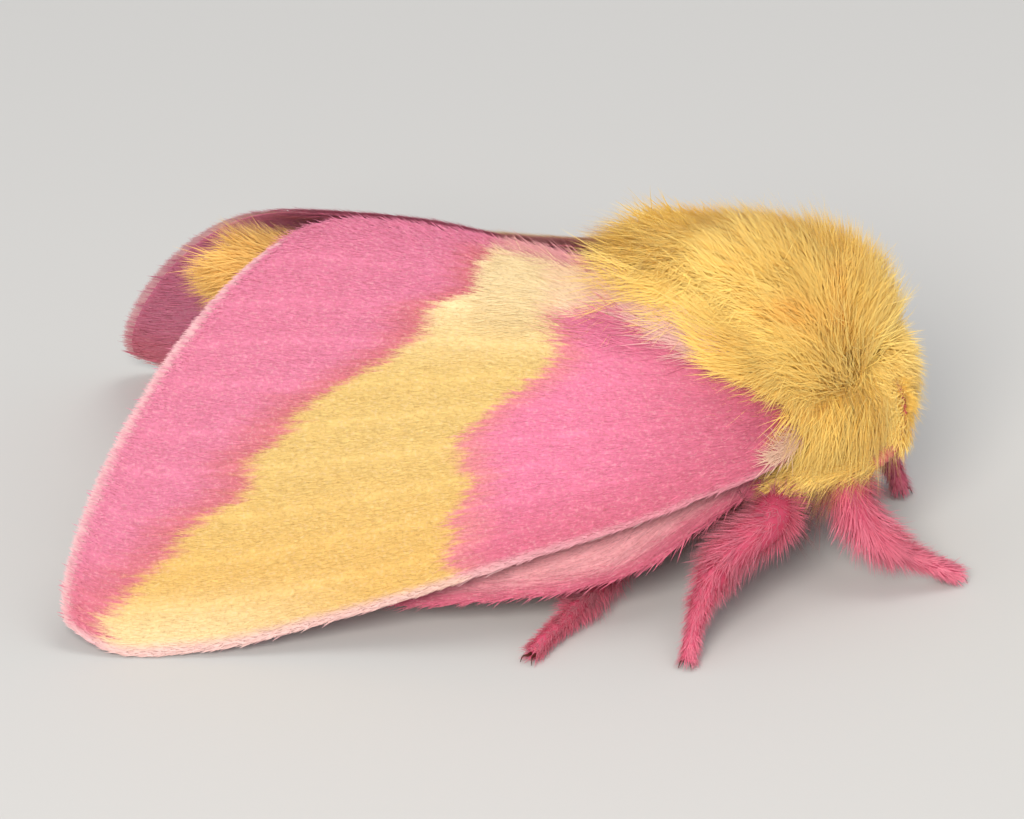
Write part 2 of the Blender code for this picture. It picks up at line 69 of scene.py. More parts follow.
class Edge:
    """A smooth curve through a few points, read at many shares of its length at once."""

    def __init__(self, points):
        self.points = np.array(points, float)
        steps = np.linalg.norm(np.diff(self.points, axis=0), axis=1)
        self.shares = np.concatenate([[0.0], np.cumsum(steps)]) / steps.sum()
        self.slopes = np.gradient(self.points, self.shares, axis=0)

    def __call__(self, share):
        share = np.asarray(share, float)
        i = np.clip(np.searchsorted(self.shares, share) - 1, 0, len(self.shares) - 2)
        span = (self.shares[i + 1] - self.shares[i])[..., None]
        s = (share - self.shares[i])[..., None] / span
        a, b = self.points[i], self.points[i + 1]
        ha, hb = self.slopes[i] * span, self.slopes[i + 1] * span
        inside = (a * (1 + 2 * s) * (1 - s) ** 2 + ha * s * (1 - s) ** 2
                  + b * s * s * (3 - 2 * s) + hb * s * s * (s - 1))
        return np.where(s < 0, a + ha * s, np.where(s > 1, b + hb * (s - 1), inside))

    def along(self, share):
        share = np.asarray(share, float)
        return unit(self(share + 0.005) - self(share - 0.005))


fore_costa, fore_inner = Edge(FORE_COSTA), Edge(FORE_INNER)


def forewing(t, k):
    """The left forewing's sheet: t from the hinge out, k from the front edge up to the ridge."""
    low, high = fore_costa(t), fore_inner(t)
    chord = high - low
    outward = unit(np.stack([np.zeros_like(t), chord[..., 2], -chord[..., 1]], -1))
    bow = FORE_BOW * np.maximum(t, 0) ** 1.5 * np.maximum(4 * k * (1 - k), 0) ** 0.6
    lift = ROOF_ARCH * np.hypot(chord[..., 1], chord[..., 2]) * k * (1 - k ** 4)
    return low + chord * k[..., None] + outward * lift[..., None] - bow[..., None] * np.array((1.0, 0, 0))


def lie(sheet, t, k):
    """A sheet's outward normal and its direction away from the hinge."""
    step = 0.01
    k = np.clip(k, 2 * step, 1 - 2 * step)
    across = sheet(t, k + step) - sheet(t, k - step)
    out = sheet(t + step, k) - sheet(t - step, k)
    return unit(np.cross(out, across)), unit(out)


def vein_relief(t, k, veins):
    """Ridges over the veins and a faint swell of the membrane between them."""
    relief = np.zeros_like(t)
    for i, vein in enumerate(veins):
        wander = 0.006 * np.sin(9 * t + 2.3 * i)
        start = np.clip((t - (0.0 if i % 2 else 0.35)) * 8, 0, 1)
        relief += VEIN_HEIGHT * start * np.exp(-((k - vein - wander) / 0.011) ** 2)
    spacing = len(veins) + 1
    return relief + 0.35 * VEIN_HEIGHT * np.cos(2 * np.pi * spacing * k) * np.clip(3 * t, 0, 1)


def wing_sheet(name, sheet, side, veins, reach, rows, columns, under_t=None):
    """A thin two-faced wing with its veins raised, laid out on its own chart.

    The under face can take its colour from one row of the chart, under_t."""
    t, k = np.meshgrid(np.linspace(0, reach, rows), np.linspace(0.004, 0.996, columns), indexing="ij")
    centre = sheet(t, k)
    normal, _ = lie(sheet, t, k)
    edge = np.clip(np.minimum(k, 1 - k) / 0.03, 0.35, 1) * np.clip((reach - t) / 0.02, 0.35, 1)
    top = centre + normal * (MEMBRANE_HALF * edge + vein_relief(t, k, veins))[..., None]
    bottom = centre - normal * (MEMBRANE_HALF * edge)[..., None]
    points = np.concatenate([top.reshape(-1, 3), bottom.reshape(-1, 3)])
    points[:, 1] *= side
    index = np.arange(rows * columns).reshape(rows, columns)
    quads = np.stack([index[:-1, :-1], index[1:, :-1], index[1:, 1:], index[:-1, 1:]], -1).reshape(-1, 4)
    rim = np.concatenate([index[:, 0], index[-1, 1:], index[-2::-1, -1], index[0, -2:0:-1]])
    following = np.roll(rim, -1)
    under = rows * columns
    walls = np.stack([rim, rim + under, following + under, following], -1)
    faces = np.concatenate([quads, quads[:, ::-1] + under, walls])
    if side < 0:
        faces = faces[:, ::-1]
    mesh = bpy.data.meshes.new(name)
    mesh.from_pydata((points * MM).tolist(), [], faces.tolist())
    chart = np.stack([t.ravel(), k.ravel()], -1)
    beneath = chart if under_t is None else np.stack([np.full(len(chart), under_t), chart[:, 1]], -1)
    chart = np.concatenate([chart, beneath])
    corners = np.empty(len(mesh.loops), np.int32)
    mesh.loops.foreach_get("vertex_index", corners)
    mesh.uv_layers.new(name="chart").data.foreach_set("uv", chart[corners].astype(np.float32).ravel())
    mesh.shade_smooth()
    wing = bpy.data.objects.new(name, mesh)
    bpy.context.scene.collection.objects.link(wing)
    return wing


def srgb(red, green, blue):
    """A linear colour from the three numbers of a paint chip, 0 to 255."""
    parts = [value / 255 for value in (red, green, blue)]
    return tuple(p / 12.92 if p <= 0.04045 else ((p + 0.055) / 1.055) ** 2.4 for p in parts) + (1.0,)


def put(tree, kind, inputs=None, **settings):
    """Adds one shader node, sets it, and joins or fills its inputs."""
    made = tree.nodes.new("ShaderNode" + kind)
    for key, value in settings.items():
        setattr(made, key, value)
    for key, value in (inputs or {}).items():
        socket = made.inputs[key]
        if isinstance(value, bpy.types.NodeSocket):
            tree.links.new(value, socket)
        else:
            socket.default_value = value
    return made


def reckon(tree, operation, first, second):
    return put(tree, "Math", {0: first, 1: second}, operation=operation).outputs[0]


def ramp_mask(tree, value, start, end):
    """0 below start, 1 above end, smooth between."""
    made = put(tree, "MapRange", {"Value": value, "From Min": start, "From Max": end},
               interpolation_type="SMOOTHSTEP")
    return made.outputs[0]


def mixed(tree, mask, first, second):
    made = put(tree, "Mix", {0: mask, 6: first, 7: second}, data_type="RGBA")
    return made.outputs[2]


def colour_group(name, inputs):
    """A node group that gives one colour, with its start and end. inputs says each input's kind."""
    group = bpy.data.node_groups.new(name, "ShaderNodeTree")
    for label, kind in inputs.items():
        group.interface.new_socket(label, in_out="INPUT", socket_type="NodeSocket" + kind)
    group.interface.new_socket("Colour", in_out="OUTPUT", socket_type="NodeSocketColor")
    return group, group.nodes.new("NodeGroupInput"), group.nodes.new("NodeGroupOutput")


def coloured_by(tree, group, **inputs):
    """Places a colour group in a tree and gives its colour."""
    return put(tree, "Group", inputs, node_tree=group).outputs["Colour"]


def new_material(name):
    """An empty material, with its node tree and its shader."""
    made = bpy.data.materials.new(name)
    made.use_nodes = True
    return made, made.node_tree, made.node_tree.nodes["Principled BSDF"]


def edge_curve(tree, value, points):
    """A curve drawn through points, such as the border of a colour across the wing."""
    made = put(tree, "FloatCurve", {"Value": value})
    curve = made.mapping.curves[0]
    curve.points[0].location = points[0]
    curve.points[1].location = points[-1]
    for point in points[1:-1]:
        curve.points.new(*point)
    made.mapping.update()
    return made.outputs[0]


OUTER_BORDER = (
    (0.0, 0.95), (0.033, 0.944), (0.1, 0.925), (0.175, 0.894), (0.233, 0.869), (0.3, 0.844),
    (0.358, 0.8), (0.425, 0.806), (0.483, 0.781), (0.542, 0.769), (0.633, 0.694), (0.733, 0.644),
    (0.792, 0.65), (0.85, 0.588), (0.933, 0.606), (1.0, 0.6),
)
INNER_BORDER = (
    (0.0, 0.5), (0.075, 0.531), (0.125, 0.513), (0.175, 0.525), (0.267, 0.513), (0.392, 0.537),
    (0.433, 0.531), (0.567, 0.463), (0.658, 0.431), (0.808, 0.438), (1.0, 0.44),
)
BASAL_TOP = (
    (0.0, 0.72), (0.15, 0.78), (0.225, 0.825), (0.3, 0.875), (0.375, 0.833), (0.438, 0.8), (1.0, 0.78),
)

SCALE_YELLOW = srgb(217, 184, 110)
SCALE_GOLD = srgb(219, 177, 96)
SCALE_CREAM = srgb(240, 218, 170)
SCALE_LILAC = srgb(236, 192, 184)
SCALE_PINK = srgb(213, 119, 149)
SCALE_ROSE = srgb(208, 104, 130)
SCALE_DUSK = srgb(202, 108, 116)
SCALE_AMBER = srgb(216, 128, 134)
SCALE_BROWN = srgb(150, 96, 64)
SCALE_BASAL = srgb(222, 120, 154)
SCALE_BLUSH = srgb(224, 184, 184)
SCALE_PALE = srgb(240, 214, 196)


def make_tone():
    """Each hair or scale a little lighter or darker than the next."""
    group, start, end = colour_group("hair tone", {"Base": "Color", "Tone": "Float", "Amount": "Float"})
    change = reckon(group, "MULTIPLY", start.outputs["Tone"], start.outputs["Amount"])
    value = reckon(group, "ADD", change, 1.0)
    lit = put(group, "HueSaturation", {"Color": start.outputs["Base"], "Value": value}).outputs[0]
    group.links.new(lit, end.inputs["Colour"])
    return group


def make_speckle():
    """Single darker and paler scales among the rest, no larger than a tenth of a millimetre."""
    group, start, end = colour_group("scale speckle", {"Base": "Color", "Place": "Vector"})
    place = start.outputs["Place"]
    grain = put(group, "TexNoise", {"Vector": place, "Scale": 12000.0, "Detail": 2.0}).outputs[0]
    dark = reckon(group, "MULTIPLY", ramp_mask(group, grain, 0.56, 0.68), 0.22)
    pale = reckon(group, "MULTIPLY", ramp_mask(group, grain, 0.46, 0.34), 0.13)
    darkened = mixed(group, dark, start.outputs["Base"], SCALE_BROWN)
    group.links.new(mixed(group, pale, darkened, SCALE_PALE), end.inputs["Colour"])
    return group


hair_tone = make_tone()
scale_speckle = make_speckle()


def make_markings():
    """The forewing's pattern on its chart: rose base, yellow band, rose outer third, pale edges."""
    group, start, end = colour_group("wing markings", {"Chart": "Vector", "Place": "Vector", "Tone": "Float"})
    chart = start.outputs["Chart"]

    # Where on the chart, with borders loosened by the streaks of the scales.
    streaks = put(group, "VectorMath", {0: chart, 1: (9.0, 95.0, 1.0)}, operation="MULTIPLY").outputs[0]
    feather = put(group, "TexNoise", {"Vector": streaks, "Scale": 1.0, "Detail": 3.0}).outputs[0]
    cloud = put(group, "TexNoise", {"Vector": chart, "Scale": 9.0, "Detail": 2.0}).outputs[0]
    split = put(group, "SeparateXYZ", {0: chart})
    out, up = split.outputs[0], split.outputs[1]
    shift = reckon(group, "MULTIPLY", reckon(group, "SUBTRACT", feather, 0.5), 0.08)
    wobble = reckon(group, "MULTIPLY", reckon(group, "SUBTRACT", cloud, 0.5), 0.02)
    loose = reckon(group, "ADD", reckon(group, "ADD", out, shift), wobble)

    past_outer = reckon(group, "SUBTRACT", loose, edge_curve(group, up, OUTER_BORDER))
    past_inner = reckon(group, "SUBTRACT", loose, edge_curve(group, up, INNER_BORDER))
    over_basal = reckon(group, "SUBTRACT", up, edge_curve(group, out, BASAL_TOP))
    over_basal = reckon(group, "ADD", over_basal, shift)

    # The yellow band, cream toward the ridge and at its lower corner.
    golden = mixed(group, ramp_mask(group, up, 0.5, 0.05), SCALE_YELLOW, SCALE_GOLD)
    band = mixed(group, ramp_mask(group, up, 0.58, 0.9), golden, SCALE_CREAM)
    lower = reckon(group, "MULTIPLY", ramp_mask(group, up, 0.17, 0.02), ramp_mask(group, out, 0.6, 0.85))
    band = mixed(group, reckon(group, "MULTIPLY", lower, 0.7), band, SCALE_CREAM)
    # The rose base and outer third, and the pale corner above the base.
    deep = mixed(group, ramp_mask(group, out, 0.42, 0.1), SCALE_BASAL, SCALE_ROSE)
    basal = mixed(group, ramp_mask(group, up, 0.3, 0.02), deep, SCALE_ROSE)
    pale = mixed(group, ramp_mask(group, out, 0.5, 0.25), SCALE_CREAM, SCALE_LILAC)
    shaded = mixed(group, ramp_mask(group, past_outer, 0.09, 0.0), SCALE_PINK, SCALE_DUSK)
    apex = mixed(group, ramp_mask(group, up, 0.3, 0.0), shaded, SCALE_ROSE)
    outer = mixed(group, 0.55, shaded, apex)

    # The four fields laid over each other, then the ridge, the front edge and the outer margin.
    dusky = mixed(group, ramp_mask(group, past_inner, 0.0, -0.065), SCALE_AMBER, basal)
    colour = mixed(group, ramp_mask(group, past_inner, 0.016, -0.012), band, dusky)
    above = reckon(group, "MULTIPLY", ramp_mask(group, over_basal, -0.012, 0.02),
                   ramp_mask(group, past_inner, 0.03, -0.02))
    colour = mixed(group, above, colour, pale)
    colour = mixed(group, ramp_mask(group, past_outer, -0.018, 0.018), colour, outer)
    beyond = put(group, "MapRange", {"Value": out, "From Min": 0.3, "From Max": 0.6, "To Min": 0.3,
                                     "To Max": 0.85}).outputs[0]
    costal = reckon(group, "MULTIPLY", ramp_mask(group, up, 0.035, 0.005), beyond)
    ridge = reckon(group, "MULTIPLY", ramp_mask(group, up, 0.955, 0.985), 0.75)
    colour = mixed(group, ridge, colour, SCALE_PINK)
    colour = coloured_by(group, scale_speckle, Base=colour, Place=start.outputs["Place"])
    colour = mixed(group, costal, colour, SCALE_BLUSH)
    margin = reckon(group, "MULTIPLY", ramp_mask(group, out, 0.972, 0.99), 0.8)
    colour = mixed(group, margin, colour, SCALE_BLUSH)
    lit = coloured_by(group, hair_tone, Base=colour, Tone=start.outputs["Tone"], Amount=0.11)
    group.links.new(lit, end.inputs["Colour"])
    return group


wing_markings = make_markings()


def scale_material(name, group, roughness=0.62, bump=0.0):
    """Matt scales coloured by a marking group, each hair a little lighter or darker than the next."""
    made, tree, shader = new_material(name)
    shader.inputs["Sheen Weight"].default_value = 0.08
    shader.inputs["Sheen Roughness"].default_value = 0.45
    shader.inputs["Specular IOR Level"].default_value = 0.3
    chart = put(tree, "UVMap", uv_map="chart").outputs[0]
    tone = put(tree, "Attribute", attribute_name="tone").outputs["Fac"]
    place = put(tree, "TexCoord").outputs["Object"]
    colour = coloured_by(tree, group, Chart=chart, Place=place, Tone=tone)
    tree.links.new(colour, shader.inputs["Base Color"])
    grain = put(tree, "TexNoise", {"Vector": place, "Scale": 6000.0, "Detail": 2.0}).outputs[0]
    rough = put(tree, "MapRange", {"Value": grain, "To Min": roughness - 0.08, "To Max": roughness + 0.1})
    tree.links.new(rough.outputs[0], shader.inputs["Roughness"])
    if bump:
        raised = put(tree, "Bump", {"Height": grain, "Strength": bump, "Distance": 0.00005})
        tree.links.new(raised.outputs[0], shader.inputs["Normal"])
    return made


forewing_membrane = scale_material("forewing membrane", wing_markings, bump=0.5)
for side_name, side in SIDES.items():
    wing = wing_sheet("forewing_sheet_" + side_name, forewing, side, FORE_VEINS, WING_MARGIN, 150, 110,
                      UNDER_T)
    wing.data.materials.append(forewing_membrane)
    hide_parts("forewing_" + side_name)
    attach(wing, "root")


# Forewing scales. The colour of the wing is all in its scales: flat, hair-fine blades rooted in rows
# that point away from the hinge and overlap like thatch. They are longest and softest at the hinge and
# along the ridge, and the outer edge ends in a neat comb of pale ones.
LOWEST_TIP = 0.03  # hair tips stay this far above the ground, in mm


def hair_mesh(name, spines, width, across, places, tone, chart=None, thick=0.28, waist=0.8):
    """Solid tapered hairs in one mesh. spines holds each hair's points from root to tip, in mm."""
    count, rings, _ = spines.shape
    ahead = unit(spines[:, -1] - spines[:, 0])
    over = unit(np.cross(across, ahead))
    shares = np.linspace(1.0, waist, rings - 1)
    profile = np.array(((1.0, 0.0), (0.0, thick), (-1.0, 0.0)))
    body = (spines[:, :-1, None, :]
            + across[:, None, None] * (width[:, None, None] * shares[:, None] * profile[:, 0])[..., None] / 2
            + over[:, None, None] * (width[:, None, None] * shares[:, None] * profile[:, 1])[..., None] / 2)
    points = np.concatenate([body.reshape(count, -1, 3), spines[:, -1:]], axis=1)
    each = points.shape[1]
    loops, totals = [2, 1, 0], [3]
    for ring in range(rings - 2):
        a, b = 3 * ring, 3 * ring + 3
        for i in range(3):
            j = (i + 1) % 3
            loops += [a + i, a + j, b + j, b + i]
            totals.append(4)
    last = 3 * (rings - 2)
    for i in range(3):
        loops += [last + i, last + (i + 1) % 3, each - 1]
        totals.append(3)
    pattern, totals = np.array(loops, np.int64), np.array(totals, np.int64)
    corners = (pattern[None] + np.arange(count)[:, None] * each).ravel()
    sizes = np.tile(totals, count)
    mesh = bpy.data.meshes.new(name)
    mesh.vertices.add(count * each)
    mesh.vertices.foreach_set("co", (points * MM).astype(np.float32).ravel())
    mesh.loops.add(len(corners))
    mesh.loops.foreach_set("vertex_index", corners.astype(np.int32))
    mesh.polygons.add(len(sizes))
    mesh.polygons.foreach_set("loop_start", (np.cumsum(sizes) - sizes).astype(np.int32))
    mesh.polygons.foreach_set("use_smooth", np.zeros(len(sizes), bool))
    mesh.update(calc_edges=True)
    # Each hair's patch on the coat's unwrap is 0.003 across, at its root's place.
    half_patch = 0.0015
    patch = np.zeros((each, 2))
    for ring in range(rings - 1):
        height = (2 * ring / (rings - 1) - 1) * half_patch
        patch[3 * ring:3 * ring + 3] = [(x * half_patch, height) for x in (1, 0, -1)]
    patch[-1] = (0.0, half_patch)
    spots = np.clip(places, 0.002, 0.998)
    owner = np.repeat(np.arange(count), len(pattern))
    bake = spots[owner] + patch[np.tile(pattern, count)]
    mesh.uv_layers.new(name="OFBake").data.foreach_set("uv", bake.astype(np.float32).ravel())
    if chart is not None:
        mesh.uv_layers.new(name="chart").data.foreach_set("uv", chart[owner].astype(np.float32).ravel())
    layer = mesh.attributes.new("tone", "FLOAT", "POINT")
    layer.data.foreach_set("value", np.repeat(tone, each).astype(np.float32))
    hairs = bpy.data.objects.new(name, mesh)
    bpy.context.scene.collection.objects.link(hairs)
    return hairs


def strewn(draw, sheet, count, low, high, thin=None):
    """Places spread evenly over a sheet's own area between two corners of its chart."""
    tries = draw.random((count * 5, 2)) * (np.array(high) - low) + low
    t, k = tries[:, 0], tries[:, 1]
    step = 0.004
    inner = np.clip(k, 2 * step, 1 - 2 * step)
    area = np.linalg.norm(np.cross(sheet(t + step, inner) - sheet(t - step, inner),
                                   sheet(t, inner + step) - sheet(t, inner - step)), axis=1)
    chance = area / np.quantile(area, 0.97)
    if thin is not None:
        chance = chance * thin(t, k)
    kept = np.flatnonzero(draw.random(len(t)) < chance)[:count]
    return t[kept], k[kept]


def wing_hairs(name, sheet, side, draw, t, k, length, width, rise, swing, face=1.0, depth=0.07, chart=None,
               turn=0.0, uneven=0.3):
    """Hairs on a wing's outer (face 1) or inner (face -1) side, swept away from the hinge.

    rise is the angle off the wing, turn the mean angle off the outward way and swing its spread."""
    bend = 0.6  # the outer half's rise, as a share of the inner half's
    count = len(t)
    normal, out = lie(sheet, t, k)
    normal = normal * face
    across = np.cross(normal, out)
    swing = draw.normal(turn, swing, count)[:, None]
    heading = unit(out * np.cos(swing) + across * np.sin(swing))
    rise = (rise * draw.uniform(0.6, 1.4, count))[:, None]
    length = (length * draw.uniform(1 - uneven, 1 + uneven, count))[:, None]
    root = sheet(t, k) + normal * depth
    first = unit(heading * np.cos(rise) + normal * np.sin(rise))
    second = unit(heading * np.cos(rise * bend) + normal * np.sin(rise * bend))
    middle = root + first * length * 0.45
    spines = np.stack([root, middle + second * length * 0.55], axis=1)
    wide = width * draw.uniform(0.75, 1.25, count)
    sideways = unit(np.cross(normal, heading))
    tone = np.clip(draw.normal(0, 0.5, count), -1.5, 1.5)
    spines[:, 1:, 2] = np.maximum(spines[:, 1:, 2], LOWEST_TIP)
    spines[:, :, 1] *= side
    sideways[:, 1] *= side
    sideways *= side * face
    places = np.stack([0.02 + 0.96 * t, 0.02 + 0.96 * k], -1)
    own = np.stack([t, k], -1) if chart is None else chart
    return hair_mesh(name, spines, wide, sideways, places, tone, own)


forewing_scales = scale_material("forewing scales", wing_markings, 0.6)


def coat_piece(obj, material):
    """A coat piece takes its material and slot and rides the body."""
    obj.data.materials.append(material)
    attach(obj, "root")


def dress_wing(name, sheet, side_name, draw, t, k, material, **lie_of_hairs):
    """Hairs at places t, k of one wing, as a coat piece."""
    hairs = wing_hairs(f"{name}_{side_name}", sheet, SIDES[side_name], draw, t, k, **lie_of_hairs)
    coat_piece(hairs, material)


def on_chart(t, k):
    """The chart places that hairs take their colours from, where these aren't their roots' own."""
    return np.stack(np.broadcast_arrays(t, k), -1)


for side_name, side in SIDES.items():
    draw = np.random.default_rng(31 if side > 0 else 32)
    t, k = strewn(draw, forewing, 42000, (0.0, 0.0), (WING_MARGIN, 1.0))
    near_ridge = np.clip((k - 0.78) / 0.12, 0, 1) * np.clip((0.62 - t) / 0.15, 0, 1)
    near_hinge = np.clip((0.3 - t) / 0.3, 0, 1)
    dress_wing("forewing_scales", forewing, side_name, draw, t, k, forewing_scales,
               length=0.27 + 0.55 * near_ridge + 0.3 * near_hinge, width=0.043,
               rise=0.16 + 0.05 * near_ridge, swing=0.2)
    t, k = strewn(draw, forewing, 3500, (0.0, 0.72), (0.56, 1.0),
                  lambda t, k: np.clip((k - 0.72) / 0.15, 0, 1))
    dress_wing("ridge_down", forewing, side_name, draw, t, k, forewing_scales,
               length=1.15 - 0.5 * t, width=0.034, rise=0.2, swing=0.25, turn=-0.1)
    t, k = strewn(draw, forewing, 900, (0.1, 0.84), (0.34, 1.0))
    dress_wing("hinge_down", forewing, side_name, draw, t, k, forewing_scales,
               length=1.35, width=0.034, rise=0.34, swing=0.25, turn=0.1)
    t, k = strewn(draw, forewing, 8500, (0.05, 0.0), (WING_MARGIN, 1.0))
    dress_wing("forewing_lining", forewing, side_name, draw, t, k, forewing_scales,
               length=0.42, width=0.07, rise=0.12, swing=0.16, face=-1.0, chart=on_chart(UNDER_T, k))
    # A pale pink tuft at the front corner of the hinge.
    count = 260
    t, k = draw.uniform(0.07, 0.13, count), draw.uniform(0.0, 0.08, count)
    dress_wing("hinge_tuft", forewing, side_name, draw, t, k, forewing_scales,
               length=0.8, width=0.03, rise=0.5, swing=0.4, depth=0.1, turn=0.5,
               chart=on_chart(np.full(count, 0.36), 0.92))
    # The raised fringe along the ridge, where the two wings meet, and the one beneath it.
    count = 2600
    t = draw.uniform(0.28, 0.975, count)
    k = 1.0 - 0.05 * draw.random(count) ** 2
    dress_wing("ridge_fringe", forewing, side_name, draw, t, k, forewing_scales,
               length=0.42, width=0.04, rise=0.26, swing=0.14, turn=0.3,
               depth=draw.uniform(-0.06, 0.07, (count, 1)))
    t = draw.uniform(0.1, 0.975, count)
    k = 1.0 - 0.07 * draw.random(count) ** 1.5
    dress_wing("inner_fringe", forewing, side_name, draw, t, k, forewing_scales,
               length=0.55, width=0.05, rise=0.2, swing=0.14, turn=-0.3, face=-1.0,
               chart=on_chart(UNDER_T, 0.9 * k))
    # The comb along the outer edge, and the short nap along the front edge.
    count = 3600
    k = np.linspace(0.005, 0.995, count) + draw.normal(0, 0.0006, count)
    t = WING_MARGIN - draw.uniform(0.0, 0.01, count)
    dress_wing("outer_comb", forewing, side_name, draw, t, k, forewing_scales,
               length=0.33, width=0.042, rise=0.04, swing=0.04, depth=0.0, uneven=0.12,
               chart=on_chart(0.99, k))
    count = 3000
    t = np.linspace(0.1, 0.975, count) + draw.normal(0, 0.001, count)
    k = draw.uniform(0.0, 0.02, count)
    dress_wing("front_nap", forewing, side_name, draw, t, k, forewing_scales,
               length=0.3, width=0.036, rise=0.06, swing=0.08, depth=0.02, turn=-0.1, uneven=0.2,
               chart=on_chart(np.minimum(t, 0.95), 0.0))


# Hindwings. Smaller, softer wings folded flat inside the forewings. A strip of each shows under the
# forewing's front edge, clothed in long beige-pink hairs that run along the wing to a rosy lower edge.
HIND_COSTA = (
    (0.16, 0.46), (0.13, 0.15), (0.155, -0.09), (0.21, -0.15), (0.28, -0.2), (0.36, -0.16),
    (0.46, -0.085), (0.56, -0.02), (0.67, 0.05), (0.77, 0.16),
)
HIND_INNER = ((0.20, 0.62), (0.45, 0.66), (0.72, 0.73), (0.93, 0.84))
HIND_BOW = 0.05
HIND_DEPTH = 0.98
HIND_VEINS = (1 / 6, 1 / 3, 0.5, 2 / 3, 5 / 6)
hind_costa, hind_inner = Edge(HIND_COSTA), Edge(HIND_INNER)
HIND_BEIGE = srgb(228, 158, 164)
HIND_ROSE = srgb(204, 96, 122)
HIND_LILAC = srgb(212, 176, 178)


def hindwing(t, k):
    """The left hindwing's sheet, laid on the forewing's chart and held inside it."""
    low, high = hind_costa(t), hind_inner(t)
    bow = HIND_BOW * np.maximum(t, 0) ** 2 * np.maximum(4 * k * (1 - k), 0) ** 0.7
    at = low + (high - low) * k[..., None] + bow[..., None] * np.array((1.0, 0.0))
    normal, _ = lie(forewing, at[..., 0], at[..., 1])
    return forewing(at[..., 0], at[..., 1]) - normal * HIND_DEPTH


def make_hind_markings():
    """Beige-pink, rosy along the front edge and paler where the forewing covers it."""
    group, start, end = colour_group("hindwing markings",
                                     {"Chart": "Vector", "Place": "Vector", "Tone": "Float"})
    streaks = put(group, "VectorMath", {0: start.outputs["Chart"], 1: (5.0, 60.0, 1.0)}, operation="MULTIPLY")
    feather = put(group, "TexNoise", {"Vector": streaks.outputs[0], "Scale": 1.0, "Detail": 3.0}).outputs[0]
    split = put(group, "SeparateXYZ", {0: start.outputs["Chart"]})
    shift = reckon(group, "MULTIPLY", reckon(group, "SUBTRACT", feather, 0.5), 0.1)
    up = reckon(group, "ADD", split.outputs[1], shift)
    colour = mixed(group, ramp_mask(group, up, 0.15, 0.0), HIND_BEIGE, HIND_ROSE)
    colour = mixed(group, ramp_mask(group, up, 0.25, 0.4), colour, HIND_LILAC)
    colour = mixed(group, ramp_mask(group, up, 0.5, 0.8), colour, HIND_ROSE)
    colour = coloured_by(group, scale_speckle, Base=colour, Place=start.outputs["Place"])
    lit = coloured_by(group, hair_tone, Base=colour, Tone=start.outputs["Tone"], Amount=0.16)
    group.links.new(lit, end.inputs["Colour"])
    return group


hind_markings = make_hind_markings()
hindwing_membrane = scale_material("hindwing membrane", hind_markings, bump=0.5)
hindwing_scales = scale_material("hindwing scales", hind_markings, 0.6)
for side_name, side in SIDES.items():
    wing = wing_sheet("hindwing_sheet_" + side_name, hindwing, side, HIND_VEINS, 0.98, 90, 60)
    wing.data.materials.append(hindwing_membrane)
    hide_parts("hindwing_" + side_name)
    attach(wing, "root")
    draw = np.random.default_rng(41 if side > 0 else 42)
    t, k = strewn(draw, hindwing, 10000, (0.0, 0.0), (0.98, 1.0))
    dress_wing("hindwing_scales", hindwing, side_name, draw, t, k, hindwing_scales,
               length=0.6, width=0.046, rise=0.14, swing=0.16)
    t, k = strewn(draw, hindwing, 3500, (0.0, 0.0), (0.98, 1.0))
    dress_wing("hindwing_lining", hindwing, side_name, draw, t, k, hindwing_scales,
               length=0.5, width=0.075, rise=0.14, swing=0.16, face=-1.0)
    t = draw.uniform(0.02, 0.97, 1200)
    k = draw.uniform(0.0, 0.03, 1200)
    dress_wing("hindwing_fringe", hindwing, side_name, draw, t, k, hindwing_scales,
               length=0.42, width=0.038, rise=0.1, swing=0.2, depth=0.0, turn=-0.12, uneven=0.5)


# Body skin. A hard thin shell in three parts, thorax, head and ringed abdomen, with six jointed legs.
# It is one skin here, drawn from the same eggs and tubes as the frame, and nearly all of it is hidden
# under the coat.
THORAX_CENTRE, THORAX_RADII = (6.0, 0.0, 5.4), (4.0, 3.2, 3.4)
HEAD_CENTRE, HEAD_RADII = (9.65, 0.0, 4.65), (1.1, 1.4, 1.65)
ABDOMEN_LINE = ((2.6, 0, 5.4), (-0.5, 0, 5.6), (-3.5, 0, 6.15), (-6.0, 0, 7.1), (-7.5, 0, 7.85))
ABDOMEN_RADIUS, ABDOMEN_TAPER, ABDOMEN_RINGS = 2.35, 1.05, 7
FORE_LEG = (
    (8.2, 0.9, 3.7), (8.75, 1.9, 3.15), (9.2, 2.7, 2.75), (9.75, 3.05, 1.8), (10.6, 3.2, 1.15),
    (11.5, 3.1, 0.72), (12.25, 2.85, 0.22),
)
FAR_FORE_LEG = (
    (8.2, 0.9, 3.7), (8.7, 1.7, 3.1), (9.1, 2.35, 2.7), (9.6, 2.6, 1.95), (10.1, 2.6, 1.25),
    (10.45, 2.35, 0.7), (10.7, 2.1, 0.1),
)
MID_LEG = (
    (6.2, 1.2, 3.0), (6.9, 2.6, 2.55), (7.15, 4.6, 2.8), (5.9, 5.8, 2.1), (5.45, 6.6, 1.5),
    (5.2, 7.3, 0.9), (5.05, 7.85, 0.1),
)
HIND_LEG = (
    (4.0, 1.2, 2.9), (3.6, 2.4, 1.75), (2.9, 3.9, 0.95), (2.2, 5.3, 0.6), (1.62, 6.5, 0.45),
    (1.2, 7.25, 0.38), (0.85, 7.85, 0.22),
)
FORE_LEG_RADII = (0.62, 0.74, 0.76, 0.62, 0.38, 0.31, 0.34)
MID_LEG_RADII = (0.62, 0.72, 0.72, 0.7, 0.45, 0.28, 0.31)
HIND_LEG_RADII = (0.5, 0.5, 0.45, 0.38, 0.27, 0.28, 0.31)
SKIN_SHARE = 0.72  # the skin's leg is this much of the frame's, whose tubes include the fur
LEG_JOINTS, FOOT_START = 14, 0.62  # the foot is ringed by small joints from this share of the leg on
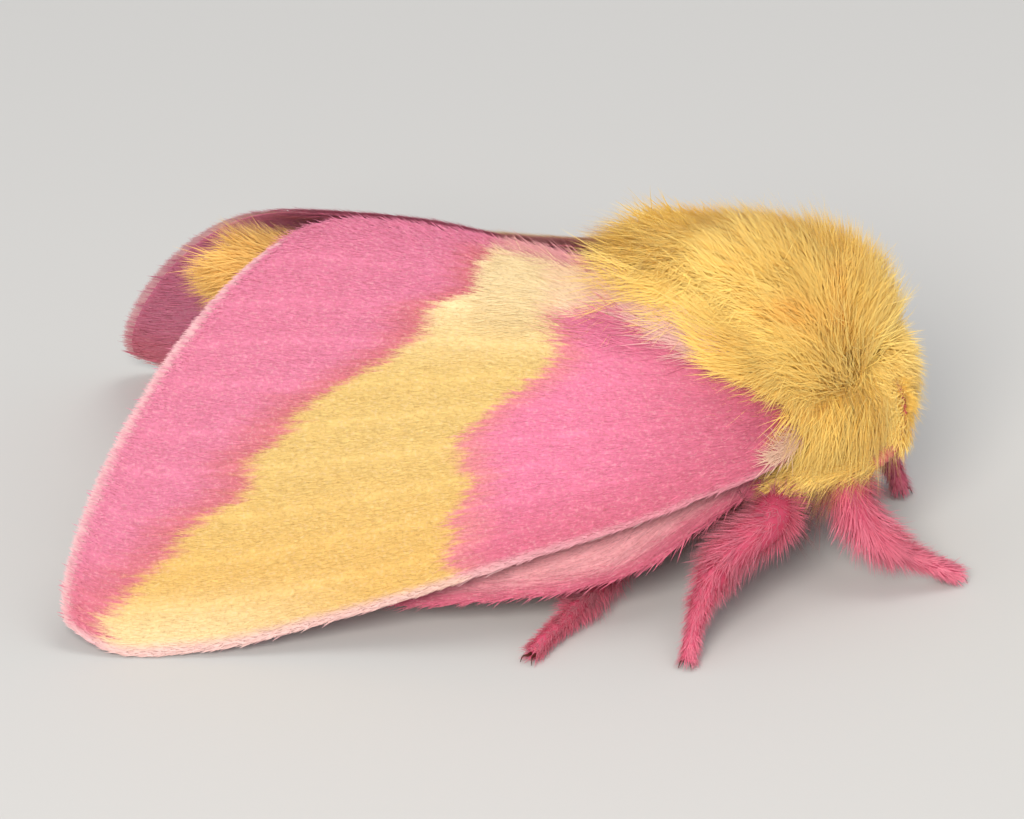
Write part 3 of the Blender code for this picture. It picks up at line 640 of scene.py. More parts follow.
LEGS = {
    "leg_fore_left": (FAR_FORE_LEG, FORE_LEG_RADII, 1.0), "leg_fore_right": (FORE_LEG, FORE_LEG_RADII, -1.0),
    "leg_mid_left": (MID_LEG, MID_LEG_RADII, 1.0), "leg_mid_right": (MID_LEG, MID_LEG_RADII, -1.0),
    "leg_hind_left": (HIND_LEG, HIND_LEG_RADII, 1.0), "leg_hind_right": (HIND_LEG, HIND_LEG_RADII, -1.0),
}
abdomen_line = Edge(ABDOMEN_LINE)


def abdomen_radius(share):
    share = np.asarray(share, float)
    narrowing = np.maximum(share - 0.25, 0) ** 1.3 / 0.75 ** 1.3
    body = ABDOMEN_RADIUS + (ABDOMEN_TAPER - ABDOMEN_RADIUS) * narrowing
    rounded = np.maximum(1 - (2 * share - 1) ** 2, 0) ** 0.3
    return body * rounded * (1 - 0.025 * np.cos(2 * np.pi * ABDOMEN_RINGS * share))


def around(line, share):
    """The direction of a limb's line and two directions across it."""
    axis = line.along(share)
    sideways = unit(np.cross(axis, np.broadcast_to((0.0, 0.0, 1.0), axis.shape)))
    return axis, sideways, unit(np.cross(sideways, axis))


def turned(name, line, radius, side=1.0, rows=60, spokes=24, stop=1.0):
    """A closed limb of round section along a line, radius a function of the share along it."""
    shares = np.linspace(0.0, stop, rows)
    axis, sideways, upward = around(line, shares)
    turn = np.linspace(0, 2 * np.pi, spokes, endpoint=False)
    ring = (sideways[:, None] * np.sin(turn)[None, :, None] + upward[:, None] * np.cos(turn)[None, :, None])
    points = line(shares)[:, None] + ring * radius(shares)[:, None, None]
    points = np.concatenate([points.reshape(-1, 3), line(shares[[0, -1]])])
    points[:, 1] *= side
    index = np.arange(rows * spokes).reshape(rows, spokes)
    following = np.roll(index, -1, axis=1)
    walls = np.stack([index[:-1], index[1:], following[1:], following[:-1]], -1).reshape(-1, 4).tolist()
    first, last = rows * spokes, rows * spokes + 1
    caps = [[first, a, b] for a, b in zip(index[0], following[0])]
    caps += [[last, b, a] for a, b in zip(index[-1], following[-1])]
    mesh = bpy.data.meshes.new(name)
    mesh.from_pydata((points * MM).tolist(), [], walls + [[int(v) for v in cap] for cap in caps])
    limb = bpy.data.objects.new(name, mesh)
    bpy.context.scene.collection.objects.link(limb)
    return limb


def round_ends(share):
    """The radius of a ball one across, along its axis."""
    return np.sqrt(np.maximum(1 - (2 * share - 1) ** 2, 0))


def straight_egg(name, centre, radii):
    """An egg of the body as a turned form along X."""
    line = Edge([(centre[0] + step * radii[0], 0, centre[2]) for step in (1, 0, -1)])
    form = turned(name, line, round_ends, rows=50, spokes=48)
    for vertex in form.data.vertices:
        vertex.co.y *= radii[1]
        vertex.co.z = (centre[2] + (vertex.co.z / MM - centre[2]) * radii[2]) * MM
    return form


def belly_radius(share):
    """The abdomen's skin, a little inside the frame's."""
    full = abdomen_radius(share)
    return full - 0.1 * (full > 0.2)


parts = [straight_egg("chest", THORAX_CENTRE, [r - 0.12 for r in THORAX_RADII]),
         straight_egg("brow", HEAD_CENTRE, [r - 0.1 for r in HEAD_RADII]),
         turned("belly", abdomen_line, belly_radius)]
for leg_name, (points, radii, side) in LEGS.items():
    line = Edge(points)
    knots = np.array(radii) * SKIN_SHARE

    def leg_radius(share, line=line, knots=knots):
        bare = np.interp(share, line.shares, knots)
        joints = 1 + 0.1 * np.cos(2 * np.pi * LEG_JOINTS * share) * (share > FOOT_START)
        return bare * joints

    parts.append(turned(leg_name + "_core", line, leg_radius, side, rows=90, spokes=16, stop=0.985))
with bpy.context.temp_override(active_object=parts[0], selected_objects=parts,
                               selected_editable_objects=parts):
    bpy.ops.object.join()
body_skin = parts[0]
body_skin.name = body_skin.data.name = "body_skin"
remesh = body_skin.modifiers.new("one skin", "REMESH")
remesh.mode, remesh.voxel_size = "VOXEL", 0.075 * MM
smooth = body_skin.modifiers.new("ease", "SMOOTH")
smooth.factor, smooth.iterations = 0.5, 3
graph = bpy.context.evaluated_depsgraph_get()
graph.update()
skin_mesh = bpy.data.meshes.new_from_object(body_skin.evaluated_get(graph), depsgraph=graph)
body_skin.modifiers.clear()
body_skin.data = skin_mesh
skin_mesh.shade_smooth()

COAT_GOLD = srgb(255, 220, 109)
COAT_ORANGE = srgb(255, 200, 78)
COAT_AMBER = srgb(238, 178, 78)
COAT_STRAW = srgb(252, 226, 160)
COAT_SHADOW = srgb(226, 150, 60)


def make_coat_colours():
    """Golden wool, deeper orange in places, straw on the face and belly, each hair with its own tone and with
    painted shade at its root.
    """
    group, start, end = colour_group("woolly coat colours", {
        "Place": "Vector", "Tone": "Float", "Tip": "Float", "Straw": "Float", "Amber": "Float"})
    place = start.outputs["Place"]
    cloud = put(group, "TexNoise", {"Vector": place, "Scale": 420.0, "Detail": 2.0}).outputs[0]
    colour = mixed(group, ramp_mask(group, cloud, 0.56, 0.78), COAT_GOLD, COAT_ORANGE)
    colour = mixed(group, start.outputs["Amber"], colour, COAT_AMBER)
    colour = mixed(group, start.outputs["Straw"], colour, COAT_STRAW)
    tip = reckon(group, "MULTIPLY", start.outputs["Tip"], 0.4)
    colour = mixed(group, tip, colour, COAT_STRAW)
    # Painted shade: each hair is darkened toward COAT_SHADOW near its root, for the shade deep inside the
    # wool.
    root = reckon(group, "MULTIPLY", ramp_mask(group, start.outputs["Tip"], 0.3, 0.0), 0.1)
    colour = mixed(group, root, colour, COAT_SHADOW)
    lit = coloured_by(group, hair_tone, Base=colour, Tone=start.outputs["Tone"], Amount=0.06)
    group.links.new(lit, end.inputs["Colour"])
    return group


coat_colours = make_coat_colours()


def wool_material(name, straw=0.0, amber=0.0):
    """Silky golden hair, with a share of straw or amber in it."""
    made, tree, shader = new_material(name)
    shader.inputs["Sheen Weight"].default_value = 0.14
    shader.inputs["Sheen Roughness"].default_value = 0.4
    shader.inputs["Specular IOR Level"].default_value = 0.35
    shader.inputs["Roughness"].default_value = 0.55
    tone = put(tree, "Attribute", attribute_name="tone").outputs["Fac"]
    tip = put(tree, "Attribute", attribute_name="tip").outputs["Fac"]
    place = put(tree, "TexCoord").outputs["Object"]
    colour = coloured_by(tree, coat_colours, Place=place, Tone=tone, Tip=tip, Straw=straw, Amber=amber)
    tree.links.new(colour, shader.inputs["Base Color"])
    return made


skin_material, skin_tree, skin_shader = new_material("body skin")
skin_place = put(skin_tree, "TexCoord").outputs["Object"]
skin_height = put(skin_tree, "SeparateXYZ", {0: skin_place}).outputs[2]
skin_grain = put(skin_tree, "TexNoise", {"Vector": skin_place, "Scale": 2500.0, "Detail": 3.0}).outputs[0]
# The skin takes the coat's colours at a low Tip, so it carries a little of their painted root shade.
skin_gold = coloured_by(skin_tree, coat_colours, Place=skin_place, Tip=0.1,
                        Tone=reckon(skin_tree, "SUBTRACT", skin_grain, 1.0))
rose_below = ramp_mask(skin_tree, skin_height, 0.0039, 0.0034)
skin_tone = mixed(skin_tree, rose_below, skin_gold, srgb(196, 74, 104))
skin_tree.links.new(skin_tone, skin_shader.inputs["Base Color"])
skin_shader.inputs["Roughness"].default_value = 0.6
skin_bump = put(skin_tree, "Bump", {"Height": skin_grain, "Strength": 0.5, "Distance": 0.00005})
skin_tree.links.new(skin_bump.outputs[0], skin_shader.inputs["Normal"])
body_skin.data.materials.clear()
body_skin.data.materials.append(skin_material)
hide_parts("thorax", "head", "abdomen", *LEGS)
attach(body_skin, "root")


# Thorax wool. Fine silky hairs about two millimetres long, springing from the collar and swept back in
# pointed locks over the shoulders, nearly upright along the top, and combed down over the wing hinges.
def fluffed(name, draw, root, normal, places, flow, length, stand, width, clump=0.3, relax=0.55, fray=0.08,
            side=1.0, swing=0.3, bent=True):
    """Hairs gathered into pointed locks: they leave the skin at stand and lean over into the flow.

    clump is how far tips draw together, relax how much of stand is left at the tip, fray how far tips
    stray and swing how much the hairs' headings differ."""
    spacing = 10  # hairs to a lock
    count = len(root)
    along = unit(flow - normal * np.sum(flow * normal, axis=1, keepdims=True))
    across = np.cross(normal, along)
    turn = draw.normal(0, swing, count)[:, None]
    along = unit(along * np.cos(turn) + across * np.sin(turn))
    stand = (stand * draw.uniform(0.75, 1.25, count))[:, None]
    length = (length * draw.uniform(0.65, 1.2, count))[:, None]
    base = root - normal * np.minimum(0.12, 0.15 * length)
    first = unit(along * np.cos(stand) + normal * np.sin(stand))
    second = unit(along * np.cos(stand * relax) + normal * np.sin(stand * relax))
    middle = base + first * length * 0.5
    tip = middle + second * length * 0.5
    heads = np.arange(0, count, spacing)
    tree = KDTree(len(heads))
    for i, head in enumerate(heads):
        tree.insert(root[head], i)
    tree.balance()
    nearest = heads[np.array([tree.find(point)[1] for point in root])]
    gather = clump * draw.uniform(0.5, 1.2, count)[:, None]
    offset = tip[nearest] - tip
    reach = np.minimum(1.0, 0.9 / np.maximum(np.linalg.norm(offset, axis=1, keepdims=True), 1e-6))
    tip = tip + offset * reach * gather + draw.normal(0, fray, (count, 3))
    middle = middle + offset * reach * gather * 0.3 + draw.normal(0, fray * 0.3, (count, 3))
    spines = np.stack([base, middle, tip] if bent else [base, tip], axis=1)
    spines[:, 1:, 2] = np.maximum(spines[:, 1:, 2], LOWEST_TIP)
    sideways = unit(np.cross(normal, along))
    tone = draw.normal(0, 0.45, count)
    tone = np.clip(tone + 0.5 * draw.normal(0, 1, len(heads))[nearest // spacing], -2, 2)
    spines[:, :, 1] *= side
    sideways[:, 1] *= side
    sideways *= side
    wide = width * draw.uniform(0.7, 1.3, count)
    made = hair_mesh(name, spines, wide, sideways, places, tone, thick=0.32, waist=0.75)
    heights = np.tile([0.0] * 3 + [0.55] * (3 if bent else 0) + [1.0], count).astype(np.float32)
    made.data.attributes.new("tip", "FLOAT", "POINT").data.foreach_set("value", heights)
    return made


def drift(draw, points, size, strength):
    """A smooth wandering direction, so that the wool isn't combed too evenly."""
    waves = draw.normal(0, 1.6 / size, (8, 3))
    phase = draw.uniform(0, 2 * np.pi, 8)
    push = draw.normal(0, 1, (8, 3))
    return strength * np.sin(points @ waves.T + phase) @ push / math.sqrt(8)


def on_egg(draw, count, centre, radii, keep):
    """Roots spread evenly over an egg where keep says, with their normals and unwrap places."""
    way = unit(draw.normal(0, 1, (count * 12, 3)))
    radii = np.array(radii)
    normal = unit(way / radii)
    area = radii.prod() * np.linalg.norm(way / radii, axis=1)
    kept = np.flatnonzero((draw.random(len(way)) < area / area.max()) & keep(way))[:count]
    way, normal = way[kept], normal[kept]
    root = np.array(centre) + way * radii
    places = np.stack([0.5 + 0.48 * np.arctan2(way[:, 1], way[:, 2]) / np.pi, 0.5 - 0.48 * way[:, 0]], -1)
    return way, root, normal, places


def combed(ahead, aside, upward):
    """The way hair is combed, each share one number or one for each hair."""
    return np.stack(np.broadcast_arrays(ahead, aside, upward), -1)


def from_collar(root):
    """The wool springs from a whorl on each side of the collar."""
    whorl = combed(9.95, 1.5 * np.tanh(root[:, 1]), 5.0)
    return unit(root - whorl)


def near_whorl(root):
    """1 where the wool parts round the collar, fading to 0 about 1.6 mm away."""
    ring = combed(9.5, 2.0 * np.tanh(root[:, 1] * 0.8), 5.5)
    return np.clip(1 - np.linalg.norm(root - ring, axis=1) / 1.6, 0, 1)


golden_wool = wool_material("golden wool")


def bare_shoulder(way):
    """True where the wings leave the thorax open to view."""
    aside = np.abs(way[:, 1])
    under_wing = (way[:, 0] < 0.12) & (aside > 0.35) & (way[:, 2] < 0.62)
    chest = way[:, 2] < -0.55
    over_waist = (way[:, 0] < -0.35) & ((way[:, 2] < 0.5) | (aside > 0.55))
    behind_head = (way[:, 0] > 0.86) & (way[:, 2] < 0.1)
    return ~(under_wing | over_waist | behind_head | chest)


for number in range(2):
    draw = np.random.default_rng(51 + number)
    way, root, normal, places = on_egg(draw, 13600, THORAX_CENTRE, THORAX_RADII, bare_shoulder)
    aside = np.abs(way[:, 1])
    top = np.clip((way[:, 2] - 0.35) / 0.4, 0, 1)
    front = np.clip((way[:, 0] - 0.45) / 0.35, 0, 1) * np.clip(way[:, 2] * 3, 0, 1)
    below = np.clip((-way[:, 2] - 0.15) / 0.4, 0, 1)
    flow = from_collar(root) * (1 - 0.5 * front)[:, None]
    flow = flow + drift(draw, root, 1.6, 0.3) + drift(draw, root, 0.6, 0.22)
    flow[:, 2] -= 0.2 * aside * (1 - top) + 0.45 * below
    flow[:, 1] += 0.3 * way[:, 1]
    flow += front[:, None] * np.array((0.7, 0.0, 0.35))
    crest = top * (1 - front)
    rear = top * np.clip((-way[:, 0] - 0.1) / 0.4, 0, 1)
    parting = near_whorl(root)
    flow += drift(draw, root, 0.35, 0.6) * parting[:, None]
    stand = 0.45 + 0.3 * crest + 0.4 * front + 0.2 * rear + 0.12 * parting
    length = 1.6 - 0.2 * crest + 0.35 * front + 0.1 * below + 0.95 * rear - 0.15 * parting
    length = length * (1 + 0.12 * np.tanh(drift(draw, root, 0.9, 1.0)[:, 0]))
    coat_piece(fluffed(f"thorax_wool_{number + 1}", draw, root, normal, places, flow, length, stand,
                       width=0.033, swing=0.28, fray=0.1), golden_wool)


# Cape. The same wool rooted over each wing hinge. It is combed back along the wing and hides where the
# wing joins the thorax.
CAPE_EDGE = ((0.0, 0.075), (0.37, 0.085), (0.62, 0.13), (0.73, 0.19), (0.95, 0.21), (1.0, 0.3))
for side_name, side in SIDES.items():
    draw = np.random.default_rng(61 if side > 0 else 62)
    edge_k, edge_t = zip(*CAPE_EDGE)
    t, k = strewn(draw, forewing, 6500, (-0.03, 0.0), (0.3, 1.0),
                  lambda t, k: (t < np.interp(k, edge_k, edge_t) - 0.045) * 1.0)
    normal, out = lie(forewing, t, k)
    root = forewing(t, k) + normal * 0.12
    flow = out + np.array((0.0, 0.0, 0.1)) + drift(draw, root, 1.6, 0.25)
    places = np.stack([0.02 + 0.9 * np.clip(t + 0.05, 0, 1), 0.02 + 0.96 * k], -1)
    coat_piece(fluffed("cape_wool_" + side_name, draw, root, normal, places, flow, length=1.75, stand=0.42,
                       width=0.036, clump=0.4, swing=0.16, side=side), golden_wool)


# Collar skirt. The collar's longest wool, rooted on the chest. It hangs over the laid-back feeler and the
# roots of the fore legs.
draw = np.random.default_rng(65)
way, root, normal, places = on_egg(
    draw, 5200, THORAX_CENTRE, THORAX_RADII,
    lambda way: (way[:, 0] > 0.42) & (way[:, 0] < 0.93) & (np.abs(way[:, 1]) > 0.33)
    & (way[:, 2] > -0.55) & (way[:, 2] < 0.12))
flow = combed(-0.45, 0.55 * np.sign(way[:, 1]), -0.75) + drift(draw, root, 0.9, 0.3)
reach = 2.1 + 0.7 * np.clip((way[:, 0] - 0.55) / 0.3, 0, 1)
coat_piece(fluffed("collar_skirt", draw, root, normal, places, flow, length=reach, stand=0.85, width=0.034,
                   relax=0.45, fray=0.1), golden_wool)


# Head. Small, tucked under the collar, clothed in short pale wool brushed down over the face, with a
# tuft of deeper yellow between the feelers.
straw_wool = wool_material("straw wool", straw=0.12)
draw = np.random.default_rng(71)
way, root, normal, places = on_egg(
    draw, 5000, HEAD_CENTRE, HEAD_RADII,
    lambda way: (way[:, 0] > -0.45) & ~((np.abs(way[:, 1]) > 0.66) & (way[:, 2] < 0.35)))
flow = combed(0.3, 0.15 * way[:, 1], -0.9) + drift(draw, root, 0.8, 0.35)
stand = 0.6 + 0.6 * np.clip(way[:, 2] * 1.6 - 0.3, 0, 1)
coat_piece(fluffed("face_wool", draw, root, normal, places, flow, length=0.85, stand=stand, width=0.03),
           straw_wool)

# The tuft between the feelers.
draw = np.random.default_rng(78)
way, root, normal, places = on_egg(
    draw, 700, HEAD_CENTRE, HEAD_RADII,
    lambda way: (way[:, 0] > 0.72) & (np.abs(way[:, 1]) < 0.4) & (way[:, 2] > -0.25) & (way[:, 2] < 0.5))
flow = combed(0.3, 0.4 * way[:, 1], -0.8) + drift(draw, root, 0.6, 0.3)
coat_piece(fluffed("forehead_tuft", draw, root, normal, places, flow, length=0.95, stand=0.75, width=0.03,
                   clump=0.35, swing=0.35), wool_material("forehead wool", amber=0.35))

# The cheeks: collar wool that falls over the eye and the root of the feeler.
CHEEK_CENTRE, CHEEK_RADII = (9.0, 0.0, 4.6), (1.3, 2.0, 1.7)
draw = np.random.default_rng(72)
way, root, normal, places = on_egg(
    draw, 5500, CHEEK_CENTRE, CHEEK_RADII,
    lambda way: (np.abs(way[:, 1]) > 0.3) & (way[:, 0] < 0.92) & (way[:, 0] > -0.8) & (way[:, 2] > -0.72)
    & ~((way[:, 0] > 0.5) & (way[:, 2] < 0.45)))
before_eye = np.clip((way[:, 0] - 0.3) / 0.4, 0, 1)
flow = combed(-0.25, (0.4 + 0.5 * before_eye) * way[:, 1], -0.75 + 0.2 * before_eye)
flow += drift(draw, root, 0.8, 0.3)
coat_piece(fluffed("cheek_wool", draw, root, normal, places, flow, length=1.25 - 0.3 * before_eye,
                   stand=0.5 + 0.3 * near_whorl(root), width=0.032), golden_wool)

# The temples: hair that hangs beside the eye and leaves its front open.
draw = np.random.default_rng(75)
way, root, normal, places = on_egg(
    draw, 900, CHEEK_CENTRE, CHEEK_RADII,
    lambda way: (np.abs(way[:, 1]) > 0.5) & (way[:, 0] < 0.6) & (way[:, 0] > 0.1) & (way[:, 2] > 0.1))
flow = combed(0.4, 0.25 * way[:, 1], -0.9) + drift(draw, root, 0.8, 0.2)
coat_piece(fluffed("temple_wool", draw, root, normal, places, flow, length=1.35, stand=0.5, width=0.032),
           golden_wool)

# A few stray hairs stand well clear of the rest.
draw = np.random.default_rng(79)
way, root, normal, places = on_egg(draw, 260, THORAX_CENTRE, THORAX_RADII,
                                   lambda way: (way[:, 2] > 0.05) & (way[:, 0] > 0.1))
flow = from_collar(root) + np.array((0.5, 0.0, 0.2)) * np.clip(way[:, :1] - 0.3, 0, 1)
flow = flow + drift(draw, root, 0.5, 0.5)
coat_piece(fluffed("stray_hairs", draw, root, normal, places, flow, length=1.9, stand=0.75, width=0.018,
                   clump=0.0, swing=0.6), straw_wool)

# The brow: wool on the feeler's own root and first bend, and longer wool over its laid-back length, so that
# only a short piece of it shows bare.
ANTENNA = (
    (10.1, 0.85, 5.45), (10.53, 1.42, 5.0), (10.53, 2.02, 4.12), (10.05, 2.5, 3.6), (9.4, 2.85, 3.5),
    (8.5, 3.15, 3.55), (7.4, 3.45, 3.5),
)
feeler_line = Edge(ANTENNA)


def on_limb(draw, line, share, radius, start=0.0, stop=1.0):
    """Roots at each share along a limb, at random round it. start and stop bound the hairs' unwrap."""
    turn = draw.uniform(0, 2 * np.pi, len(share))
    axis, sideways, upward = around(line, share)
    normal = sideways * np.sin(turn)[:, None] + upward * np.cos(turn)[:, None]
    root = line(share) + normal * np.broadcast_to(radius, share.shape)[:, None]
    places = 0.02 + 0.96 * np.stack([(share - start) / (stop - start), turn / (2 * np.pi)], -1)
    return axis, root, normal, places


for side_name, side in SIDES.items():
    for piece, seed, start, stop, count, length, stand, laid_back in (
            ("brow_wool_", 73, -0.04, 0.38, 1900, 0.62, 0.8, 0.35),
            ("collar_drape_", 77, 0.5, 1.02, 2200, 1.0, 0.4, 1.1)):
        draw = np.random.default_rng(seed + (side < 0))
        share = draw.uniform(start, stop, count)
        axis, root, normal, places = on_limb(draw, feeler_line, share, 0.2, start, stop)
        flow = axis * laid_back + np.array((-0.25, 0.1, -0.35)) + drift(draw, root, 0.8, 0.4)
        coat_piece(fluffed(piece + side_name, draw, root, normal, places, flow, length, stand, width=0.032,
                           side=side), golden_wool)


# Abdomen and tail. Plump and ringed, clothed in short golden wool under the wings, and ending in a
# brush of longer hairs combed back and down past the last ring.
# The amber of the belly and tail wool is partly their own deeper colour and partly painted shade, for the
# wings' shade over them.
shaded_amber_wool = wool_material("amber wool with painted shade", amber=0.8)
draw = np.random.default_rng(81)
share = draw.uniform(0.04, 0.74, 3000)
axis, root, normal, places = on_limb(draw, abdomen_line, share, abdomen_radius(share))
raised = np.clip(normal[:, 2] * 2, 0, 1)
coat_piece(fluffed("belly_wool", draw, root, normal, places, axis, length=0.9 * (1 - 0.2 * raised),
                   stand=0.3 * (1 - 0.4 * raised), width=0.038, swing=0.25, bent=False),
           shaded_amber_wool)

# The brush at the tail's end.
draw = np.random.default_rng(82)
share = draw.uniform(0.7, 0.995, 5500)
axis, root, normal, places = on_limb(draw, abdomen_line, share, abdomen_radius(share))
raised = np.clip(normal[:, 2] * 2, 0, 1)
coat_piece(fluffed("tail_brush", draw, root, normal, places, axis + (0, 0, -0.6),
                   length=1.7 * (1 - 0.2 * raised), stand=0.42 * (1 - 0.4 * raised), width=0.038, swing=0.25),
           shaded_amber_wool)


# Leg hair. The six jointed legs are clothed in deep rose hairs with pale tips: long and loose on the
# thigh and shin, short and close on the ringed foot. The legs' cores are in the body skin.
LEG_ROSE = srgb(216, 94, 124)
LEG_PALE = srgb(240, 150, 166)
# The dark brown below is painted shade, for the wisps under the chest and between the legs.
VENTER_SHADE_BROWN = srgb(136, 66, 66)
VENTER_ROSE = srgb(206, 110, 120)


def leg_wool(name, dark, pale):
    """Hair that lightens from root to tip, each with its own tone."""
    made, tree, shader = new_material(name)
    tip = put(tree, "Attribute", attribute_name="tip").outputs["Fac"]
    tone = put(tree, "Attribute", attribute_name="tone").outputs["Fac"]
    colour = mixed(tree, reckon(tree, "MULTIPLY", tip, 0.6), dark, pale)
    lit = coloured_by(tree, hair_tone, Base=colour, Tone=tone, Amount=0.14)
    tree.links.new(lit, shader.inputs["Base Color"])
    shader.inputs["Roughness"].default_value = 0.55
    shader.inputs["Sheen Weight"].default_value = 0.2
    return made


rose_wool = leg_wool("rose leg hair", LEG_ROSE, LEG_PALE)
for number, (leg_name, (points, radii, side)) in enumerate(LEGS.items()):
    draw = np.random.default_rng(91 + number)
    line = Edge(points)
    share = np.concatenate([draw.uniform(0.1, 0.66, 3000), draw.uniform(0.6, 0.985, 2000)])
    bare = np.interp(share, line.shares, radii) * SKIN_SHARE
    axis, root, normal, places = on_limb(draw, line, share, bare)
    shin = np.clip((0.85 - share) / 0.3, 0, 1)
    flow = axis + drift(draw, root, 0.8, 0.25)
    coat_piece(fluffed(leg_name + "_hair", draw, root, normal, places, flow, length=0.4 + 0.6 * shin,
                       stand=0.6 + 0.15 * shin, width=0.032, clump=0.25, side=side, fray=0.04, bent=False),
               rose_wool)


# Wisps. Long, thin hairs of the underside, dark brown as painted shade under the chest and legs. They hang
# from the roots of the fore and middle legs, and from the chest between the legs toward the ground.
# These hairs are dark brown at the root as painted shade for the shaded underside, and lighten to rose at the
# tips.
shaded_venter_wool = leg_wool("dusky chest hair in painted shade", VENTER_SHADE_BROWN, VENTER_ROSE)
for number, leg_name in enumerate(("leg_fore_left", "leg_fore_right", "leg_mid_left", "leg_mid_right")):
    points, radii, side = LEGS[leg_name]
    draw = np.random.default_rng(101 + number)
    line = Edge(points)
    share = draw.uniform(0.02, 0.3, 900)
    bare = np.interp(share, line.shares, radii) * SKIN_SHARE
    axis, root, normal, places = on_limb(draw, line, share, bare)
    flow = np.array((0.1, 0.1, -1.0)) + drift(draw, root, 0.8, 0.35)
    coat_piece(fluffed(leg_name + "_wisps", draw, root, normal, places, flow, length=1.5, stand=0.5,
                       width=0.026, clump=0.2, fray=0.1, side=side, swing=0.4, bent=False),
               shaded_venter_wool)

# The wisps of the chest itself.
draw = np.random.default_rng(97)
way, root, normal, places = on_egg(
    draw, 5000, THORAX_CENTRE, THORAX_RADII,
    lambda way: (way[:, 0] > -0.3) & (way[:, 0] < 0.9) & (way[:, 2] < -0.45))
flow = combed(0.1, 1.3 * way[:, 1], -0.9) + drift(draw, root, 1.0, 0.5)
coat_piece(fluffed("chest_wisps", draw, root, normal, places, flow, length=3.1, stand=0.8, width=0.036,
                   clump=0.35, fray=0.12, swing=0.35, bent=False), shaded_venter_wool)


# Claws. Two small hooks of dark, shiny horn at the end of each foot, curved down to the ground.
# They spread a little to the sides.
CLAW_LIFT, CLAW_LENGTH, CLAW_RADIUS = 0.2, 0.22, 0.055
claw_horn, claw_tree, claw_shader = new_material("dark claw")
claw_grain = put(claw_tree, "TexNoise", {"Scale": 8000.0}).outputs[0]
claw_tint = mixed(claw_tree, claw_grain, srgb(60, 28, 22), srgb(96, 50, 38))
claw_tree.links.new(claw_tint, claw_shader.inputs["Base Color"])
claw_shader.inputs["Roughness"].default_value = 0.3
for leg_name, (points, radii, side) in LEGS.items():
    line = Edge(points)
    toe, ahead = line(1.0), line.along(1.0)
    flat = unit(ahead * (1, 1, 0))
    beside = np.cross((0, 0, 1.0), flat)
    for which, label in ((-1, "inner"), (1, "outer")):
        start = toe + flat * 0.02 + beside * 0.08 * which
        start[2] = CLAW_LIFT
        reach = flat * CLAW_LENGTH + beside * 0.1 * which
        hook = Edge([start - flat * 0.15, start, start + reach * 0.6 + (0, 0, 0.02),
                     start + reach - (0, 0, 0.14)])
        claw = turned(f"{leg_name}_claw_{label}", hook, lambda share: CLAW_RADIUS * (1 - 0.9 * share), side,
                      rows=16, spokes=10)
        claw.data.shade_smooth()
        claw.data.materials.append(claw_horn)
        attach(claw, "root")


# Feelers. Short, threadlike, ringed and clothed in salmon-pink scales, they curl down past the eye and
# are laid back under the front edge of the wing.
ANTENNA_RADII = (0.27, 0.27, 0.27, 0.26, 0.25, 0.25, 0.2)
FEELER_RINGS = 34
feeler_skin, feeler_tree, feeler_shader = new_material("salmon feeler")
feeler_grain = put(feeler_tree, "TexNoise", {"Scale": 3000.0}).outputs[0]
feeler_tint = mixed(feeler_tree, feeler_grain, srgb(176, 78, 84), srgb(214, 122, 112))
feeler_tree.links.new(feeler_tint, feeler_shader.inputs["Base Color"])
feeler_shader.inputs["Roughness"].default_value = 0.5


def feeler_radius(share):
    """Thinner than the frame's, most of all under the brow, and ringed."""
    bare = np.interp(share, feeler_line.shares, ANTENNA_RADII) * np.where(share < 0.36, 0.5, 0.7)
    return bare * (1 + 0.12 * np.cos(2 * np.pi * FEELER_RINGS * share))


for side_name, side in SIDES.items():
    feeler = turned("feeler_" + side_name, feeler_line, feeler_radius, side, rows=240, spokes=20)
    feeler.data.shade_smooth()
    feeler.data.materials.append(feeler_skin)
    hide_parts("antenna_" + side_name)
    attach(feeler, "root")


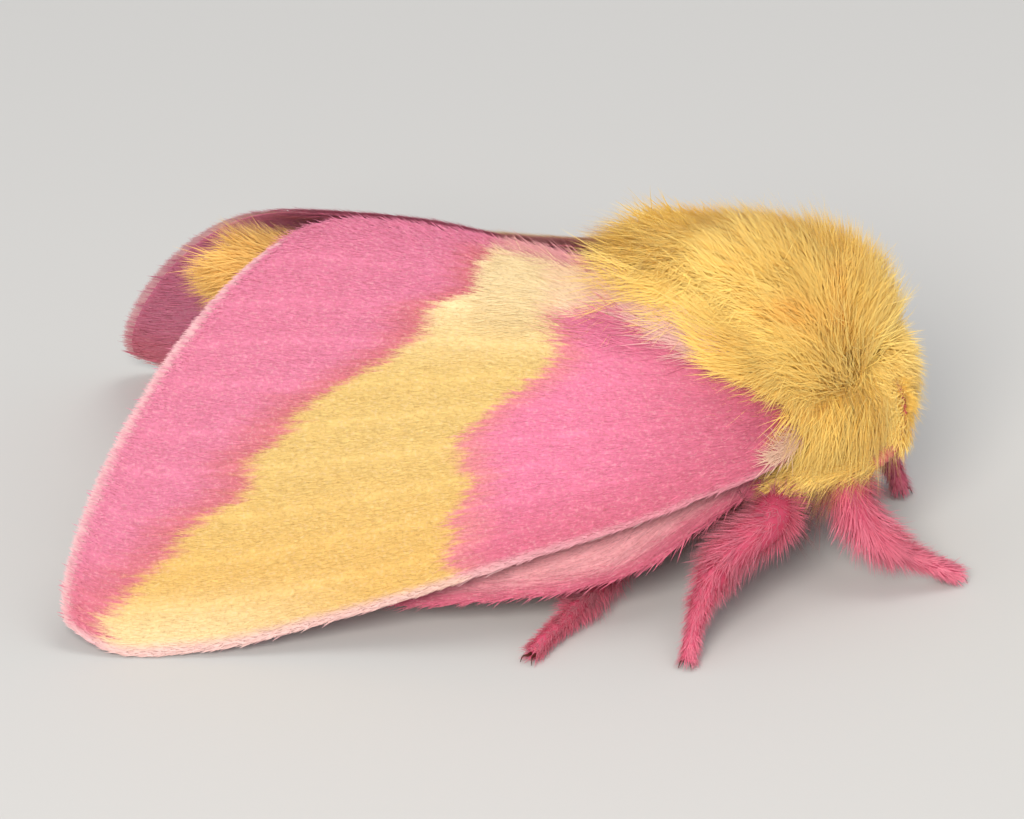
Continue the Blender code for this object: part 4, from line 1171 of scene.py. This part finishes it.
# Eyes. Two round compound eyes of dark, glossy facets, half sunk in the wool of the face.
# Each is a ball whose facets are told by colour and a very fine relief.
EYE_CENTRE, EYE_RADIUS = (9.6, 1.35, 4.35), 0.6
eye_glass, eye_tree, eye_shader = new_material("dark eye")
eye_place = put(eye_tree, "TexCoord").outputs["Object"]
eye_cells = put(eye_tree, "TexVoronoi", {"Vector": eye_place, "Scale": 22000.0}).outputs[0]
eye_tint = mixed(eye_tree, eye_cells, srgb(44, 24, 20), srgb(20, 10, 10))
eye_tree.links.new(eye_tint, eye_shader.inputs["Base Color"])
eye_shader.inputs["Roughness"].default_value = 0.18
eye_bump = put(eye_tree, "Bump", {"Height": eye_cells, "Strength": 0.4, "Distance": 0.00001})
eye_tree.links.new(eye_bump.outputs[0], eye_shader.inputs["Normal"])
for side_name, side in SIDES.items():
    x, y, z = EYE_CENTRE
    line = Edge([(x, y - EYE_RADIUS, z), (x, y, z), (x, y + EYE_RADIUS, z)])
    eye = turned("eye_ball_" + side_name, line, lambda share: EYE_RADIUS * round_ends(share), side,
                 rows=40, spokes=40)
    eye.data.shade_smooth()
    eye.data.materials.append(eye_glass)
    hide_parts("eye_" + side_name)
    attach(eye, "root")


# Floor, light and camera. A plain pale table, two big soft lamps and a pale room, seen from the
# moth's right and a little above.
floor_mesh = bpy.data.meshes.new("table")
floor_mesh.from_pydata([(-1, -1, 0), (1, -1, 0), (1, 1, 0), (-1, 1, 0)], [], [(0, 1, 2, 3)])
floor = bpy.data.objects.new("table", floor_mesh)
bpy.context.scene.collection.objects.link(floor)
table_paint, _, table_shader = new_material("pale table")
table_shader.inputs["Base Color"].default_value = srgb(204, 203, 200)
table_shader.inputs["Roughness"].default_value = 0.8
floor.data.materials.append(table_paint)

world = bpy.data.worlds.new("pale room")
bpy.context.scene.world = world
world.use_nodes = True
world.node_tree.nodes["Background"].inputs["Color"].default_value = srgb(236, 240, 246)
world.node_tree.nodes["Background"].inputs["Strength"].default_value = 0.6


def lamp(name, place, size, power, colour):
    light = bpy.data.lights.new(name, "AREA")
    light.shape, light.size, light.energy = "DISK", size, power
    light.color = colour[:3]
    made = bpy.data.objects.new(name, light)
    made.location = place
    made.rotation_euler = Vector(place).to_track_quat("Z", "Y").to_euler()
    bpy.context.scene.collection.objects.link(made)


lamp("front lamp", (-0.03, -0.22, 0.16), 0.12, 0.65, srgb(255, 250, 244))
lamp("overhead lamp", (0.06, 0.02, 0.24), 0.14, 0.13, srgb(255, 250, 246))

camera = bpy.data.objects.new("camera", bpy.data.cameras.new("camera"))
azimuth, elevation = math.radians(3.5), math.radians(28)
back = Vector((math.sin(azimuth) * math.cos(elevation), -math.cos(azimuth) * math.cos(elevation),
               math.sin(elevation)))
camera.location = Vector((-0.13, 0.0, 3.47)) * MM + back * 0.18  # 18 cm from the moth's middle
camera.rotation_euler = back.to_track_quat("Z", "Y").to_euler()
camera.data.sensor_width, camera.data.lens = 36.0, 229.15
camera.data.clip_start, camera.data.clip_end = 0.001, 10.0
bpy.context.scene.collection.objects.link(camera)
bpy.context.scene.camera = camera
bpy.context.scene.view_settings.view_transform = "Standard"
